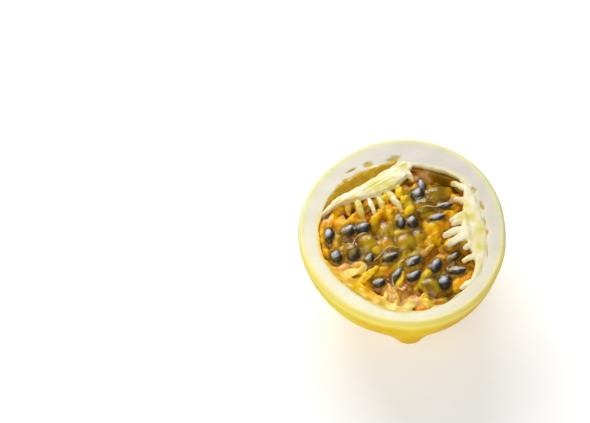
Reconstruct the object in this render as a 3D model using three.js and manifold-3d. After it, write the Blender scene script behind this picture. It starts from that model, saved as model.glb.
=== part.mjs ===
// Half of a yellow passion fruit, cut nearly lengthwise, lying on its round back with the cut face
// up. Millimetres, +Z up. The origin is the middle of the small flat spot that it rests on. The
// blossom end, with its nub, is low on the -Y side. Five solids: the rind, the three placentas that
// carry the seed stalks, and the pulp with its juice sacs and seeds.
import * as THREE from "three";
import { mergeVertices } from "three/addons/utils/BufferGeometryUtils.js";
import Module from "manifold-3d";

const wasm = await Module();
wasm.setup();

// ---------------------------------------------------------------- driving dimensions, mm and degrees
const RIM_Z = 33.6; // height of the cut face over the floor
const GAP = 0.35; // kept between neighbouring solids
const FRUIT = { halfWidth: 36, halfLength: 38.9, halfHeight: 34.05, edgeRound: 1.3, skew: 0.01, egg: 0.0525 };
const CAVITY = { x: -0.5, y: -2.5, halfWidth: 28.6, halfLength: 31.5, depth: 27, top: 12 };
const NUB = { azimuth: -86.5, drop: 29, radius: 4.3, height: 2.4 };
const SAC = { length: 9.6, width: 7.6, thickness: 6.8 };
const SEED = { length: 5.4, width: 4.1, thickness: 2.7, proud: 0.9 };
const SEED_SAC_SIZE = 0.9; // against SAC
const PULP = { crown: 0.5, fall: 3.2, coreUnder: 3.1 };
const FILLER = { size: 0.85, under: 1.3, pitch: 8.4, rowStep: 0.87, shift: 0.4, clear: 0.62, reach: 0.86 };

// Where the cavity's outline leaves its ellipse: share is of the radius, spread is in degrees. The
// fruit's own outline is an ellipse pulled towards one diagonal by skew and made blunter at +X by egg.
const CAVITY_BULGES = [
  { azimuth: 120, spread: 22, share: -0.05 },
  { azimuth: 84, spread: 20, share: -0.03 },
  { azimuth: 44, spread: 15, share: 0.07 },
  { azimuth: -42, spread: 26, share: 0.02 },
  { azimuth: -128, spread: 24, share: -0.07 },
];

// Air pockets in the cut face of the pith: centre, size and heading.
const PITH_POCKETS = [
  { x: -10.9, y: 27, length: 4, width: 2.6, heading: 15 },
  { x: -1.6, y: 29.6, length: 5.4, width: 2.8, heading: 28 },
  { x: 25.8, y: 16, length: 3, width: 1.9, heading: -60 },
  { x: 28.4, y: 9.2, length: 4.4, width: 1.5, heading: -75 },
  { x: 29.2, y: -1.9, length: 2.6, width: 1.5, heading: 75 },
];

// Hollows in the pulp, each a smooth dip: centre, reach and depth.
const HOLLOWS = [
  { x: 12, y: 24.5, reach: 5.5, drop: 6 },
  { x: 18.5, y: 21, reach: 4.5, drop: 5.5 },
  { x: 4, y: 26, reach: 2.6, drop: 2.6 },
  { x: -21.5, y: 17, reach: 5, drop: 14 },
  { x: -14.5, y: 20.5, reach: 5, drop: 14 },
  { x: -7, y: 24.5, reach: 5, drop: 14 },
  { x: -19, y: 8, reach: 3.2, drop: 2.4 },
  { x: 20.5, y: 8.4, reach: 2.4, drop: 2.6 },
  { x: 13.5, y: -8.5, reach: 3.4, drop: 2.6 },
  { x: 19, y: -8, reach: 3, drop: 3 },
  { x: 23.4, y: -9, reach: 2.6, drop: 3.2 },
  { x: 23.6, y: -14.4, reach: 2.4, drop: 3 },
  { x: -5, y: -18.6, reach: 3.4, drop: 2.8 },
  { x: 6.8, y: -6, reach: 2.8, drop: 2.2 },
];

// Seeds that lie open in their sacs: centre, heading of the long side and lean from flat.
const SEEDS = [
  { x: -25, y: -3, heading: 85, lean: 20 },
  { x: -19, y: -1.5, heading: 55, lean: 10 },
  { x: -13.5, y: 0.8, heading: 30, lean: 35 },
  { x: -22.5, y: -11, heading: 90, lean: 25 },
  { x: -16.5, y: -9.8, heading: 88, lean: 0 },
  { x: -11.3, y: -12, heading: 80, lean: 45 },
  { x: -4.5, y: -11, heading: 27, lean: 5 },
  { x: -0.3, y: 1.8, heading: 88, lean: 20 },
  { x: 3.7, y: 3.5, heading: 60, lean: 15 },
  { x: 5, y: 14.8, heading: 80, lean: 10 },
  { x: 7.4, y: 18.8, heading: 108, lean: 0 },
  { x: 15.5, y: 10, heading: 12, lean: 60 },
  { x: 11.6, y: 5.4, heading: 20, lean: 40 },
  { x: 3.8, y: -12.4, heading: 33, lean: 5 },
  { x: 11.7, y: -14.3, heading: 72, lean: 5 },
  { x: 17.8, y: -11.6, heading: 52, lean: 20 },
  { x: 18.2, y: -17, heading: 4, lean: 35 },
  { x: 3.8, y: -19.6, heading: 33, lean: 10 },
  { x: -2, y: -17.8, heading: 62, lean: 25 },
  { x: 13.8, y: -22, heading: 70, lean: 0 },
  { x: -8, y: -23, heading: 45, lean: 30 },
];

// Full sacs whose seeds lie deeper: centre, heading, size against SAC and lift.
const FULL_SACS = [
  { x: -11.6, y: -5.8, heading: 15, size: 1.05, lift: 0.5 },
  { x: 0.8, y: -4.8, heading: 70, size: 1, lift: 0.3 },
  { x: 12.6, y: 15.6, heading: 10, size: 1.1, lift: 0.2 },
  { x: 8, y: 9.8, heading: 15, size: 0.95, lift: -0.3 },
  { x: 10, y: -24.6, heading: -35, size: 1, lift: 0.2 },
  { x: 0.2, y: -24.8, heading: 70, size: 0.85, lift: -0.3 },
  { x: -5.6, y: 7.8, heading: 80, size: 0.9, lift: -0.2 },
  { x: -23.6, y: 3.6, heading: 70, size: 0.8, lift: -0.2 },
  { x: -17.2, y: 4.6, heading: 60, size: 0.7, lift: -0.3 },
  { x: 10.8, y: 0.6, heading: 40, size: 1.15, lift: -0.2 },
  { x: 16.6, y: 3.8, heading: -10, size: 0.8, lift: -0.3 },
  { x: 19.4, y: 14, heading: -40, size: 0.75, lift: -0.6 },
  { x: 22.2, y: -18, heading: 70, size: 0.8, lift: -0.2 },
  { x: -6, y: -0.6, heading: 100, size: 0.9, lift: 0 },
  { x: 5.8, y: -28, heading: 75, size: 0.7, lift: -0.2 },
  { x: -20.6, y: -15.6, heading: 20, size: 0.75, lift: -0.4 },
  { x: -0.2, y: 15.6, heading: 80, size: 0.6, lift: -0.2 },
  { x: 9.8, y: 23.8, heading: 30, size: 0.7, lift: 2.4 },
];

// Placentas: z is over the cut face. Each stalk tapers a little from its root to its tip.
const LEFT_PLACENTA = {
  path: [
    [-27.4, 5.8, -1.9],
    [-23.6, 9.9, -1.8],
    [-19, 12.9, -1.7],
    [-14, 15, -1.7],
    [-9, 17.4, -1.7],
    [-4.4, 20.6, -1.8],
    [0, 24.4, -1.8],
    [3.6, 28, -1.8],
  ],
  halfWidths: [1.2, 1.9, 2.6, 3.3, 4.2, 4.9, 4.2, 2.6],
  stalks: [
    { path: [[-15.4, 12.6, -1.7], [-14.7, 9.4, -1.2], [-13.5, 5, -2.2]], radius: 1.5 },
    { path: [[-11.2, 13.2, -1.6], [-10.5, 10, -1], [-9.3, 6, -2]], radius: 1.1 },
    { path: [[-5.2, 16.4, -1.6], [-2.8, 12.6, -0.9], [0.4, 8.2, -1.9]], radius: 1.5 },
    { path: [[1.4, 25.4, -1.6], [2.8, 23.8, -0.9], [4.6, 21.4, -1.8]], radius: 1.1 },
    { path: [[-1.4, 19.4, -1.7], [-0.6, 16.4, -1.2], [0.8, 14.2, -2]], radius: 1.1 },
  ],
};
const RIGHT_PLACENTA = {
  path: [
    [22.6, 18.8, -2.2],
    [23.8, 14.6, -1.9],
    [24.2, 8, -1.8],
    [24.3, 1, -1.7],
    [25.2, -6.6, -1.8],
    [25.4, -14.4, -2],
    [22.8, -20.8, -2.2],
  ],
  halfWidths: [1.6, 2.6, 3.3, 4.3, 3.2, 2, 1.5],
  stalks: [
    { path: [[23, 17.2, -1.6], [20.6, 18.7, -0.9], [18, 20, -1.9]], radius: 1.1 },
    { path: [[23, 11, -1.4], [20.8, 12.2, -0.8], [18.4, 13, -1.8]], radius: 1.2 },
    { path: [[23, 5.6, -1.2], [19.8, 4.6, -0.4], [16.4, 2.9, -1.7]], radius: 1.7 },
    { path: [[22.8, -0.4, -1.2], [18.6, -1.2, -0.4], [14.2, -2.9, -1.8]], radius: 1.4 },
    { path: [[22.6, -3.4, -1.2], [19, -4.6, -0.3], [15.2, -6.8, -1.5]], radius: 1.4 },
    { path: [[25, -6.4, -1.6], [22.8, -7, -0.9], [20.6, -7.9, -1.9]], radius: 1.1 },
    { path: [[26, -10.4, -1.7], [23, -11.7, -0.8], [19.8, -13.2, -1.9]], radius: 1.2 },
    { path: [[22.8, -20.6, -1.9], [20.8, -21.8, -1.2], [18.6, -23, -2.2]], radius: 1.2 },
  ],
};
const LOWER_PLACENTA = {
  path: [
    [-25.4, -13.6, -2.8],
    [-21.8, -18.6, -2.4],
    [-16.6, -23.4, -2.3],
    [-10.6, -27.6, -2.4],
    [-4, -30.6, -2.6],
    [3, -32, -3],
  ],
  halfWidths: [1.6, 3.2, 4.4, 3.8, 2.5, 1.6],
  stalks: [
    { path: [[-21, -20.6, -1.8], [-17.6, -18, -0.9], [-14.4, -16.2, -1.8]], radius: 2 },
    { path: [[-14.6, -23.6, -1.7], [-11.6, -20, -1], [-8.8, -15.8, -2]], radius: 1.6 },
    { path: [[-7.8, -29.4, -1.8], [-7, -27.2, -1.2], [-6.2, -24.8, -2]], radius: 1.1 },
    { path: [[-2.4, -31, -2.2], [-3.2, -27.4, -1.7], [-4.6, -23, -2.4]], radius: 1.2 },
  ],
};
const BAND_HALF_HEIGHT = 2.2;
const STALK_TAPER = [1.25, 1, 0.85]; // radius at the root, the middle and the tip against its own
const BLUNT = 0.35; // how full the ends of bands and stalks are: 1 is a plain round end

// How many sides the round forms have. A pair is sides around and rings along.
const FACETS = {
  fruit: 56,
  fruitRings: 13,
  cavity: 44,
  cavityRings: 8,
  core: 32,
  coreRings: 5,
  nub: 12,
  pocket: [8, 6],
  band: [10, 13],
  stalk: [6, 6],
  sac: [7, 5],
  seed: [6, 4],
};

const degrees = THREE.MathUtils.degToRad;
const lerp = THREE.MathUtils.lerp;

// ---------------------------------------------------------------- solids and their booleans
function toSolid(geometry) {
  const bare = geometry.clone();
  bare.deleteAttribute("normal");
  bare.deleteAttribute("uv");
  const merged = mergeVertices(bare, 1e-4);
  const corners = merged.index.array;
  const kept = [];
  for (let i = 0; i < corners.length; i += 3) {
    const [a, b, c] = corners.subarray(i, i + 3);
    if (a !== b && b !== c && a !== c) {
      kept.push(a, b, c);
    }
  }
  const vertProperties = merged.attributes.position.array;
  const triVerts = new Uint32Array(kept);
  return new wasm.Manifold(new wasm.Mesh({ numProp: 3, vertProperties, triVerts }));
}

function joined(solids) {
  return solids.reduce((whole, next) => whole.add(next));
}

function largestBody(solid) {
  return solid.decompose().reduce((best, body) => (body.volume() > best.volume() ? body : best));
}

function toMesh(name, solid, material) {
  const { vertProperties, triVerts } = solid.getMesh();
  const geometry = new THREE.BufferGeometry();
  geometry.setAttribute("position", new THREE.BufferAttribute(vertProperties, 3));
  geometry.setIndex(new THREE.BufferAttribute(triVerts, 1));
  geometry.computeVertexNormals();
  const mesh = new THREE.Mesh(geometry, material);
  mesh.name = name;
  return mesh;
}

// ---------------------------------------------------------------- shape helpers
// Moves each vertex of a geometry to where place(vertex) puts it.
function reshaped(geometry, place) {
  const position = geometry.attributes.position;
  const vertex = new THREE.Vector3();
  for (let i = 0; i < position.count; i++) {
    place(vertex.fromBufferAttribute(position, i));
    position.setXYZ(i, vertex.x, vertex.y, vertex.z);
  }
  return geometry;
}

// A lathed body round Z: the profile holds [radius, z] pairs, from the axis at the foot back to it.
function turned(profile, segments) {
  const points = profile.map(([radius, z]) => new THREE.Vector2(radius, z));
  return new THREE.LatheGeometry(points, segments).rotateX(Math.PI / 2);
}

// The value at a share from 0 to 1 along an evenly spaced list.
function along(values, share) {
  const place = share * (values.length - 1);
  const before = Math.min(Math.floor(place), values.length - 2);
  return lerp(values[before], values[before + 1], place - before);
}

// A pod along a curve: a sphere whose poles lie on the curve's ends, blunt like a sausage.
function pod(path, halfWidths, halfHeights, [around, steps]) {
  const curve = new THREE.CatmullRomCurve3(path.map(([x, y, z]) => new THREE.Vector3(x, y, RIM_Z + z)));
  const up = new THREE.Vector3(0, 0, 1);
  return reshaped(new THREE.SphereGeometry(1, around, steps), (v) => {
    const share = THREE.MathUtils.clamp((1 - v.y) / 2, 0, 1);
    const ring = Math.hypot(v.x, v.z);
    const swell = ring > 1e-6 ? ring ** (BLUNT - 1) : 0;
    const tangent = curve.getTangentAt(share);
    const side = new THREE.Vector3().crossVectors(tangent, up).normalize();
    const over = new THREE.Vector3().crossVectors(side, tangent);
    const sideways = v.x * swell * along(halfWidths, share);
    const upward = v.z * swell * along(halfHeights, share);
    v.copy(curve.getPointAt(share)).addScaledVector(side, -sideways).addScaledVector(over, upward);
  });
}

// An egg-shaped body: its long side points to heading, and lean lifts that end.
function egg({ x, y, z, heading, lean = 0 }, size, [around, rings]) {
  const body = new THREE.SphereGeometry(0.5, around, rings).rotateZ(-Math.PI / 2);
  body.scale(size.length, size.width, size.thickness);
  return body.rotateY(-degrees(lean)).rotateZ(degrees(heading)).translate(x, y, z);
}

// A repeatable stream of numbers from 0 to 1.
function seededDraws(seed) {
  let state = seed;
  return () => {
    state = (state * 16807) % 2147483647;
    return state / 2147483647;
  };
}

// ---------------------------------------------------------------- rind
function fruitBody() {
  const flatEdge = Math.asin(RIM_Z / FRUIT.halfHeight); // angle under the cut face where the flat spot starts
  const roundShare = FRUIT.edgeRound / FRUIT.halfWidth;
  const profile = [[0, 0]];
  for (let ring = FACETS.fruitRings; ring >= 1; ring--) {
    const under = (flatEdge * ring) / FACETS.fruitRings;
    profile.push([Math.cos(under), RIM_Z - FRUIT.halfHeight * Math.sin(under)]);
  }
  for (const turn of [0, 45, 90].map(degrees)) {
    const radius = 1 - roundShare * (1 - Math.cos(turn));
    profile.push([radius, RIM_Z - FRUIT.edgeRound * (1 - Math.sin(turn))]);
  }
  profile.push([0, RIM_Z]);
  return reshaped(turned(profile, FACETS.fruit), (v) => {
    const azimuth = Math.atan2(v.y, v.x);
    const skewed = 1 + FRUIT.skew * Math.sin(2 * azimuth);
    v.x *= FRUIT.halfWidth * skewed;
    v.y *= FRUIT.halfLength * skewed * (1 + FRUIT.egg * Math.cos(azimuth));
  });
}

// The ratio of the cavity's radius to its plain ellipse, at an azimuth in degrees.
function cavityRatio(azimuth) {
  let ratio = 1;
  for (const bulge of CAVITY_BULGES) {
    const away = Math.abs(azimuth - bulge.azimuth) / bulge.spread;
    ratio += bulge.share * Math.exp(-(away ** 2));
  }
  return ratio;
}

// How far a place lies from the cavity's middle: 0 there, 1 at the cavity's edge on the cut face.
function cavityShare(x, y) {
  const across = (x - CAVITY.x) / CAVITY.halfWidth;
  const lengthwise = (y - CAVITY.y) / CAVITY.halfLength;
  const azimuth = THREE.MathUtils.radToDeg(Math.atan2(lengthwise, across));
  return Math.hypot(across, lengthwise) / cavityRatio(azimuth);
}

// Stretches a body of radius 1 round Z onto the cavity's outline, inset by a distance.
function ontoCavity(geometry, inset) {
  return reshaped(geometry, (v) => {
    const ratio = cavityRatio(THREE.MathUtils.radToDeg(Math.atan2(v.y, v.x)));
    v.x = CAVITY.x + v.x * (CAVITY.halfWidth * ratio - inset);
    v.y = CAVITY.y + v.y * (CAVITY.halfLength * ratio - inset);
  });
}

// The wall's profile, from the cavity's floor to its edge, for a cavity inset by a distance.
function cavityWall(inset, rings) {
  const depth = CAVITY.depth - inset;
  const wall = [];
  for (let ring = rings; ring >= 0; ring--) {
    const under = (Math.PI / 2) * (ring / rings);
    wall.push([Math.cos(under), RIM_Z - depth * Math.sin(under)]);
  }
  wall[0][0] = 0;
  return wall;
}

function cavitySpace(inset) {
  const open = RIM_Z + CAVITY.top;
  const profile = [...cavityWall(inset, FACETS.cavityRings), [1, open], [0, open]];
  return toSolid(ontoCavity(turned(profile, FACETS.cavity), inset));
}

function nub() {
  const bump = turned([[0, -2], [1.3, -1.4], [1, 0], [0.75, 0.55], [0.38, 0.92], [0, 1]], FACETS.nub);
  bump.scale(NUB.radius, NUB.radius, NUB.height);
  const out = new THREE.Vector3(
    Math.cos(degrees(NUB.azimuth)) * Math.cos(degrees(NUB.drop)),
    Math.sin(degrees(NUB.azimuth)) * Math.cos(degrees(NUB.drop)),
    -Math.sin(degrees(NUB.drop)),
  );
  const reach = 1 / Math.hypot(out.x / FRUIT.halfWidth, out.y / FRUIT.halfLength, out.z / FRUIT.halfHeight);
  const turn = new THREE.Quaternion().setFromUnitVectors(new THREE.Vector3(0, 0, 1), out);
  bump.applyQuaternion(turn);
  bump.translate(out.x * reach, out.y * reach, RIM_Z + out.z * reach);
  return toSolid(bump);
}

function pithPocket({ x, y, length, width, heading }) {
  return toSolid(egg({ x, y, z: RIM_Z, heading }, { length, width, thickness: width * 1.6 }, FACETS.pocket));
}

function rind() {
  let solid = toSolid(fruitBody()).add(nub()).subtract(cavitySpace(0));
  for (const pocket of PITH_POCKETS) {
    solid = solid.subtract(pithPocket(pocket));
  }
  return largestBody(solid);
}

// ---------------------------------------------------------------- placentas
// One placenta: its band on the cavity's wall with the seed stalks. grown widens it on every side.
function placentaForm({ path, halfWidths, stalks }, grown) {
  const widths = halfWidths.map((width) => width + grown);
  const tall = BAND_HALF_HEIGHT + grown;
  const band = toSolid(pod(path, widths, [tall, tall], FACETS.band));
  const pegs = stalks.map((stalk) => {
    const radii = STALK_TAPER.map((taper) => stalk.radius * taper + grown);
    return toSolid(pod(stalk.path, radii, radii, FACETS.stalk));
  });
  return joined([band, ...pegs]);
}

function placenta(design) {
  return largestBody(placentaForm(design, 0).intersect(cavitySpace(GAP)));
}

// ---------------------------------------------------------------- pulp
// The level of the pulp's upper side, before its sacs are laid on.
function pulpLevel(x, y) {
  let level = RIM_Z + PULP.crown - PULP.fall * cavityShare(x, y) ** 3;
  for (const hollow of HOLLOWS) {
    const away = Math.hypot(x - hollow.x, y - hollow.y) / hollow.reach;
    level -= hollow.drop * Math.exp(-(away ** 2));
  }
  return level;
}

function pulpCore() {
  const wall = cavityWall(GAP, FACETS.cavityRings);
  const topRings = FACETS.coreRings;
  const profile = [...wall];
  for (let ring = topRings - 1; ring >= 0; ring--) {
    profile.push([ring / topRings, RIM_Z]);
  }
  const body = ontoCavity(turned(profile, FACETS.core), GAP);
  return reshaped(body, (v) => {
    v.z = Math.min(v.z, pulpLevel(v.x, v.y) - PULP.coreUnder);
  });
}

function sacPlace({ x, y, heading, size = 1, lift = 0 }) {
  const z = pulpLevel(x, y) - (SAC.thickness * size) / 2 + lift;
  const dimensions = { length: SAC.length * size, width: SAC.width * size, thickness: SAC.thickness * size };
  return { place: { x, y, z, heading }, dimensions };
}

function sac(item) {
  const { place, dimensions } = sacPlace(item);
  return toSolid(egg(place, dimensions, FACETS.sac));
}

function seed({ x, y, heading, lean }) {
  const z = pulpLevel(x, y) - SEED.thickness / 2 + SEED.proud;
  return toSolid(egg({ x, y, z, heading, lean }, SEED, FACETS.seed));
}

// Deeper sacs on a staggered grid, shifted by seeded draws, wherever no named sac lies.
function fillerSacs() {
  const draw = seededDraws(7);
  const { pitch, shift } = FILLER;
  const placed = [...SEEDS, ...FULL_SACS];
  const found = [];
  for (let row = -4; row <= 4; row++) {
    for (let column = -4; column <= 4; column++) {
      const x = CAVITY.x + (column + (row % 2) / 2 + (draw() - 0.5) * shift) * pitch;
      const y = CAVITY.y + (row * FILLER.rowStep + (draw() - 0.5) * shift) * pitch;
      const heading = draw() * 180;
      const crowded = placed.some((other) => Math.hypot(other.x - x, other.y - y) < pitch * FILLER.clear);
      if (!crowded && cavityShare(x, y) < FILLER.reach) {
        found.push({ x, y, heading, size: FILLER.size, lift: -FILLER.under });
      }
    }
  }
  return found;
}

function pulp() {
  const seedSacs = SEEDS.map((item) => ({ ...item, size: SEED_SAC_SIZE }));
  const sacs = [...seedSacs, ...FULL_SACS, ...fillerSacs()].map(sac);
  const heap = joined([toSolid(pulpCore()), ...sacs, ...SEEDS.map(seed)]);
  let clear = heap.intersect(cavitySpace(GAP));
  for (const design of [LEFT_PLACENTA, RIGHT_PLACENTA, LOWER_PLACENTA]) {
    clear = clear.subtract(placentaForm(design, GAP));
  }
  return largestBody(clear);
}

// ---------------------------------------------------------------- the object
const rindFinish = new THREE.MeshStandardMaterial({ color: "#e6cb3c", roughness: 0.5, metalness: 0 });
const placentaFinish = new THREE.MeshStandardMaterial({ color: "#efe8bd", roughness: 0.4, metalness: 0 });
const pulpFinish = new THREE.MeshStandardMaterial({ color: "#c98a12", roughness: 0.2, metalness: 0 });

const passionFruitHalf = new THREE.Group();
passionFruitHalf.add(toMesh("rind", rind(), rindFinish));
passionFruitHalf.add(toMesh("placenta_left", placenta(LEFT_PLACENTA), placentaFinish));
passionFruitHalf.add(toMesh("placenta_right", placenta(RIGHT_PLACENTA), placentaFinish));
passionFruitHalf.add(toMesh("placenta_lower", placenta(LOWER_PLACENTA), placentaFinish));
passionFruitHalf.add(toMesh("pulp", pulp(), pulpFinish));

export default passionFruitHalf;
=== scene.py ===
# %% [markdown]
# # Half a yellow passion fruit
# A passion fruit is a thick spongy cup, the rind, filled with a loose heap of juice sacs. Each sac is
# a little bag of golden juice round one dark seed, and hangs by a white stalk from one of three cream
# bands, the placentas, that run along the cup's wall. This lesson builds the half in that order:
# rind, placentas, then the pulp from the bottom up. Sizes and places are in millimetres. Only shaders,
# lights, floor and camera use metres, as Blender does.

# %% Frame and libraries
import math
import bpy
import numpy as np
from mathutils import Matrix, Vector
from mathutils.bvhtree import BVHTree


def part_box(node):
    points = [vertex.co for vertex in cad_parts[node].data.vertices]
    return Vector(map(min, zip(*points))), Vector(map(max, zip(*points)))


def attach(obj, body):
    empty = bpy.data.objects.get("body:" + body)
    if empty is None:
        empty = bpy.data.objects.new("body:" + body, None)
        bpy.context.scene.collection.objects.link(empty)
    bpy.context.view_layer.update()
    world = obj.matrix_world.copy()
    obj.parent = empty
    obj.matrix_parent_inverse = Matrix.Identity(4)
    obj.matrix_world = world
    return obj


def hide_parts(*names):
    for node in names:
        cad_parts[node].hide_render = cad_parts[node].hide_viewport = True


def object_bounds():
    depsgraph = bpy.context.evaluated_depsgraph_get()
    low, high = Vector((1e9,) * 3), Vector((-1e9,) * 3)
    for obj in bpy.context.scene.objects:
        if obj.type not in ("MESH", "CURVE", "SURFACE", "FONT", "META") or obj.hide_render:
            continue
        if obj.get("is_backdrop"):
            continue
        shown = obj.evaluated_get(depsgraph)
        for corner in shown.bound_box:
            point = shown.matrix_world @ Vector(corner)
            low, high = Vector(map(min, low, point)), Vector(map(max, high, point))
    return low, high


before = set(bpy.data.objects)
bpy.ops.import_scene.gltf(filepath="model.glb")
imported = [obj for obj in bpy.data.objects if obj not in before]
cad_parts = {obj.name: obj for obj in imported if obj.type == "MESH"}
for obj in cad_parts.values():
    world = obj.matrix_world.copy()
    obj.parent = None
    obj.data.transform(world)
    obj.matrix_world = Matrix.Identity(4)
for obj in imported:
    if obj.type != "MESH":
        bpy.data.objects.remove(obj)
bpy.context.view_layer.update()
MM = 0.001
_, rind_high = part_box("rind")
RIM = rind_high.z / MM
HALF_WIDTH = rind_high.x / MM
HALF_LENGTH = rind_high.y / MM
print("cut face", round(RIM, 2), "mm up, half sizes", round(HALF_WIDTH, 2), "and", round(HALF_LENGTH, 2))

# %% [markdown]
# Fruit is never smooth: every surface swells and dips a little. That could be sculpted, or pushed in
# by a Displace modifier. Here it is a sum of sine waves with random directions, which numpy works out
# for all points at once, so that any rule further down can ask for it. The seed makes the lumps the
# same on each run.

# %% Lumps
def lumps(points, size, seed, count=16):
    """A smooth random field with lumps about size across, mostly from -1 to 1."""
    draw = np.random.default_rng(seed)
    directions = draw.normal(size=(count, 3))
    directions /= np.linalg.norm(directions, axis=1)[:, None]
    directions *= (2 * math.pi / size) * draw.uniform(0.55, 1.45, (count, 1))
    phases = draw.uniform(0, 2 * math.pi, count)
    return np.sin(points @ directions.T + phases).sum(1) / math.sqrt(count)


def wander(points, size, seeds):
    """Lumps with a seed for each direction, for points that stray sideways too."""
    return np.stack([lumps(points, size, seed) for seed in seeds], 1)


def smoothstep(low, high, value):
    share = np.clip((value - low) / (high - low), 0, 1)
    return share * share * (3 - 2 * share)


print("lumps at three places:", lumps(np.eye(3) * 10, 5, 1).round(2))

# %% [markdown]
# ## The fruit's form
# The outside is half an ellipsoid with a small flat spot under it. The hollow is another ellipsoid,
# a little off centre, with a few wide bulges in its outline. The nub is where the flower sat, and
# the pockets are short tears in the pith that hold air.

# %% Sizes of the fruit
FRUIT_DEPTH = 34.05
EDGE_ROUND = 1.7
SKEW = -0.010
EGG = 0.0525
CAVITY = {"x": -0.5, "y": -2.5, "half_width": 28.6, "half_length": 31.5, "depth": 27.0}
CAVITY_BULGES = [  # azimuth, spread in degrees, share of the radius
    (120, 22, -0.05), (-128, 24, -0.07), (-42, 26, 0.02), (44, 15, 0.07), (84, 20, -0.03),
]
NUB = {"azimuth": -86.5, "drop": 29.0, "radius": 4.7, "height": 2.2, "pit_radius": 0.7, "pit_depth": 0.35}
PITH_POCKETS = [  # x, y, length, width, heading in degrees
    (-10.9, 27.0, 4.0, 3.0, 15), (-2.0, 29.2, 6.4, 3.2, 32), (-17.0, 24.6, 4.6, 1.0, 30),
    (25.8, 16.0, 3.0, 1.9, -60), (28.4, 9.2, 4.4, 1.5, -75), (28.8, 2.4, 3.2, 1.0, -85),
    (29.2, -1.9, 2.6, 1.5, 75), (28.9, -9.4, 5.6, 0.5, 88),
]
print("the hollow is", 2 * CAVITY["half_width"], "by", 2 * CAVITY["half_length"], "mm")
print("air pockets:", len(PITH_POCKETS))

# %% [markdown]
# Outside and hollow could be two scaled spheres. As formulas they give a ring of points at any share
# of their radius, and tell how far out in the hollow a place is, so that the rind, the pulp and the
# placentas all fit the same cup.

# %% Outlines of the outside and the hollow
def cavity_ratio(azimuth):
    """How far the hollow's outline leaves its ellipse, for azimuths in degrees."""
    ratio = np.ones_like(azimuth)
    for middle, spread, share in CAVITY_BULGES:
        ratio += share * np.exp(-(((azimuth - middle) / spread) ** 2))
    return ratio


def cavity_share(x, y):
    """0 in the middle of the hollow and 1 at its edge."""
    across = (x - CAVITY["x"]) / CAVITY["half_width"]
    lengthwise = (y - CAVITY["y"]) / CAVITY["half_length"]
    azimuth = np.degrees(np.arctan2(lengthwise, across))
    return np.hypot(across, lengthwise) / cavity_ratio(azimuth)


def outer_ring(azimuth, radius, z):
    """Points of the outside at a share of its radius."""
    skewed = radius * (1 - SKEW * np.sin(2 * azimuth))
    x = HALF_WIDTH * skewed * np.cos(azimuth)
    y = HALF_LENGTH * skewed * np.sin(azimuth) * (1 + EGG * np.cos(azimuth))
    return np.stack([x, y, np.full_like(azimuth, z)], 1)


def cavity_ring(azimuth, radius, z, inset=0.0):
    """Points of the hollow's wall at a share of its radius."""
    ratio = cavity_ratio(np.degrees(np.arctan2(np.sin(azimuth), np.cos(azimuth))))
    x = CAVITY["x"] + radius * (CAVITY["half_width"] * ratio - inset) * np.cos(azimuth)
    y = CAVITY["y"] + radius * (CAVITY["half_length"] * ratio - inset) * np.sin(azimuth)
    return np.stack([x, y, np.full_like(azimuth, z)], 1)


wall = outer_ring(np.zeros(1), 1.0, RIM) - cavity_ring(np.zeros(1), 1.0, RIM)
print("the wall is", round(float(wall[0, 0]), 1), "mm thick on the right")

# %% [markdown]
# Every round thing in this fruit, from the rind to the smallest sac, is a stack of rings of points. One
# helper joins each ring to the next with faces, and a single point closes the stack at either end, so
# that nothing is left open.

# %% Joining rings
def closed_rings(rings):
    """Points and faces of rings closed by a point at each end, and the row of each face."""
    count = len(rings[0]) if len(rings[0]) > 1 else len(rings[1])
    points = np.concatenate(rings)
    starts = np.cumsum([0] + [len(ring) for ring in rings])
    faces, row_of_face = [], []
    for row in range(len(rings) - 1):
        a, b = starts[row], starts[row + 1]
        for i in range(count):
            j = (i + 1) % count
            if len(rings[row]) == 1:
                faces.append((a, b + j, b + i))
            elif len(rings[row + 1]) == 1:
                faces.append((a + i, a + j, b))
            else:
                faces.append((a + i, a + j, b + j, b + i))
            row_of_face.append(row)
    return points, faces, np.array(row_of_face)


belt = outer_ring(np.linspace(0, 2 * math.pi, 8, endpoint=False), 1.0, 0.0)
_, belt_faces, _ = closed_rings([belt[:1], belt, belt[:1]])
print("a ring of 8 points, closed at both ends, has", len(belt_faces), "faces")

# %% [markdown]
# The rind's rings run from the middle of the underside, over the rim and down into the hollow. It
# could also be spun from a profile curve, but rings of our own let each zone have its own relief:
# orange peel outside, a sliced and slightly spongy cut face, small air pockets, and a soft wall inside.

# %% Rings of the rind
AROUND = 512
ZONES = {"skin": 0, "pith": 1, "lining": 2}
SKIN_TURN = 0.75
EDGE_FULLNESS = 0.8
RING_COUNTS = {"outside": 52, "edge": 9, "cut face": 76, "lip": 5, "wall": 30}
LIP = {"inward": 0.012, "start": 0.1, "drop": 0.5}


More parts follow.
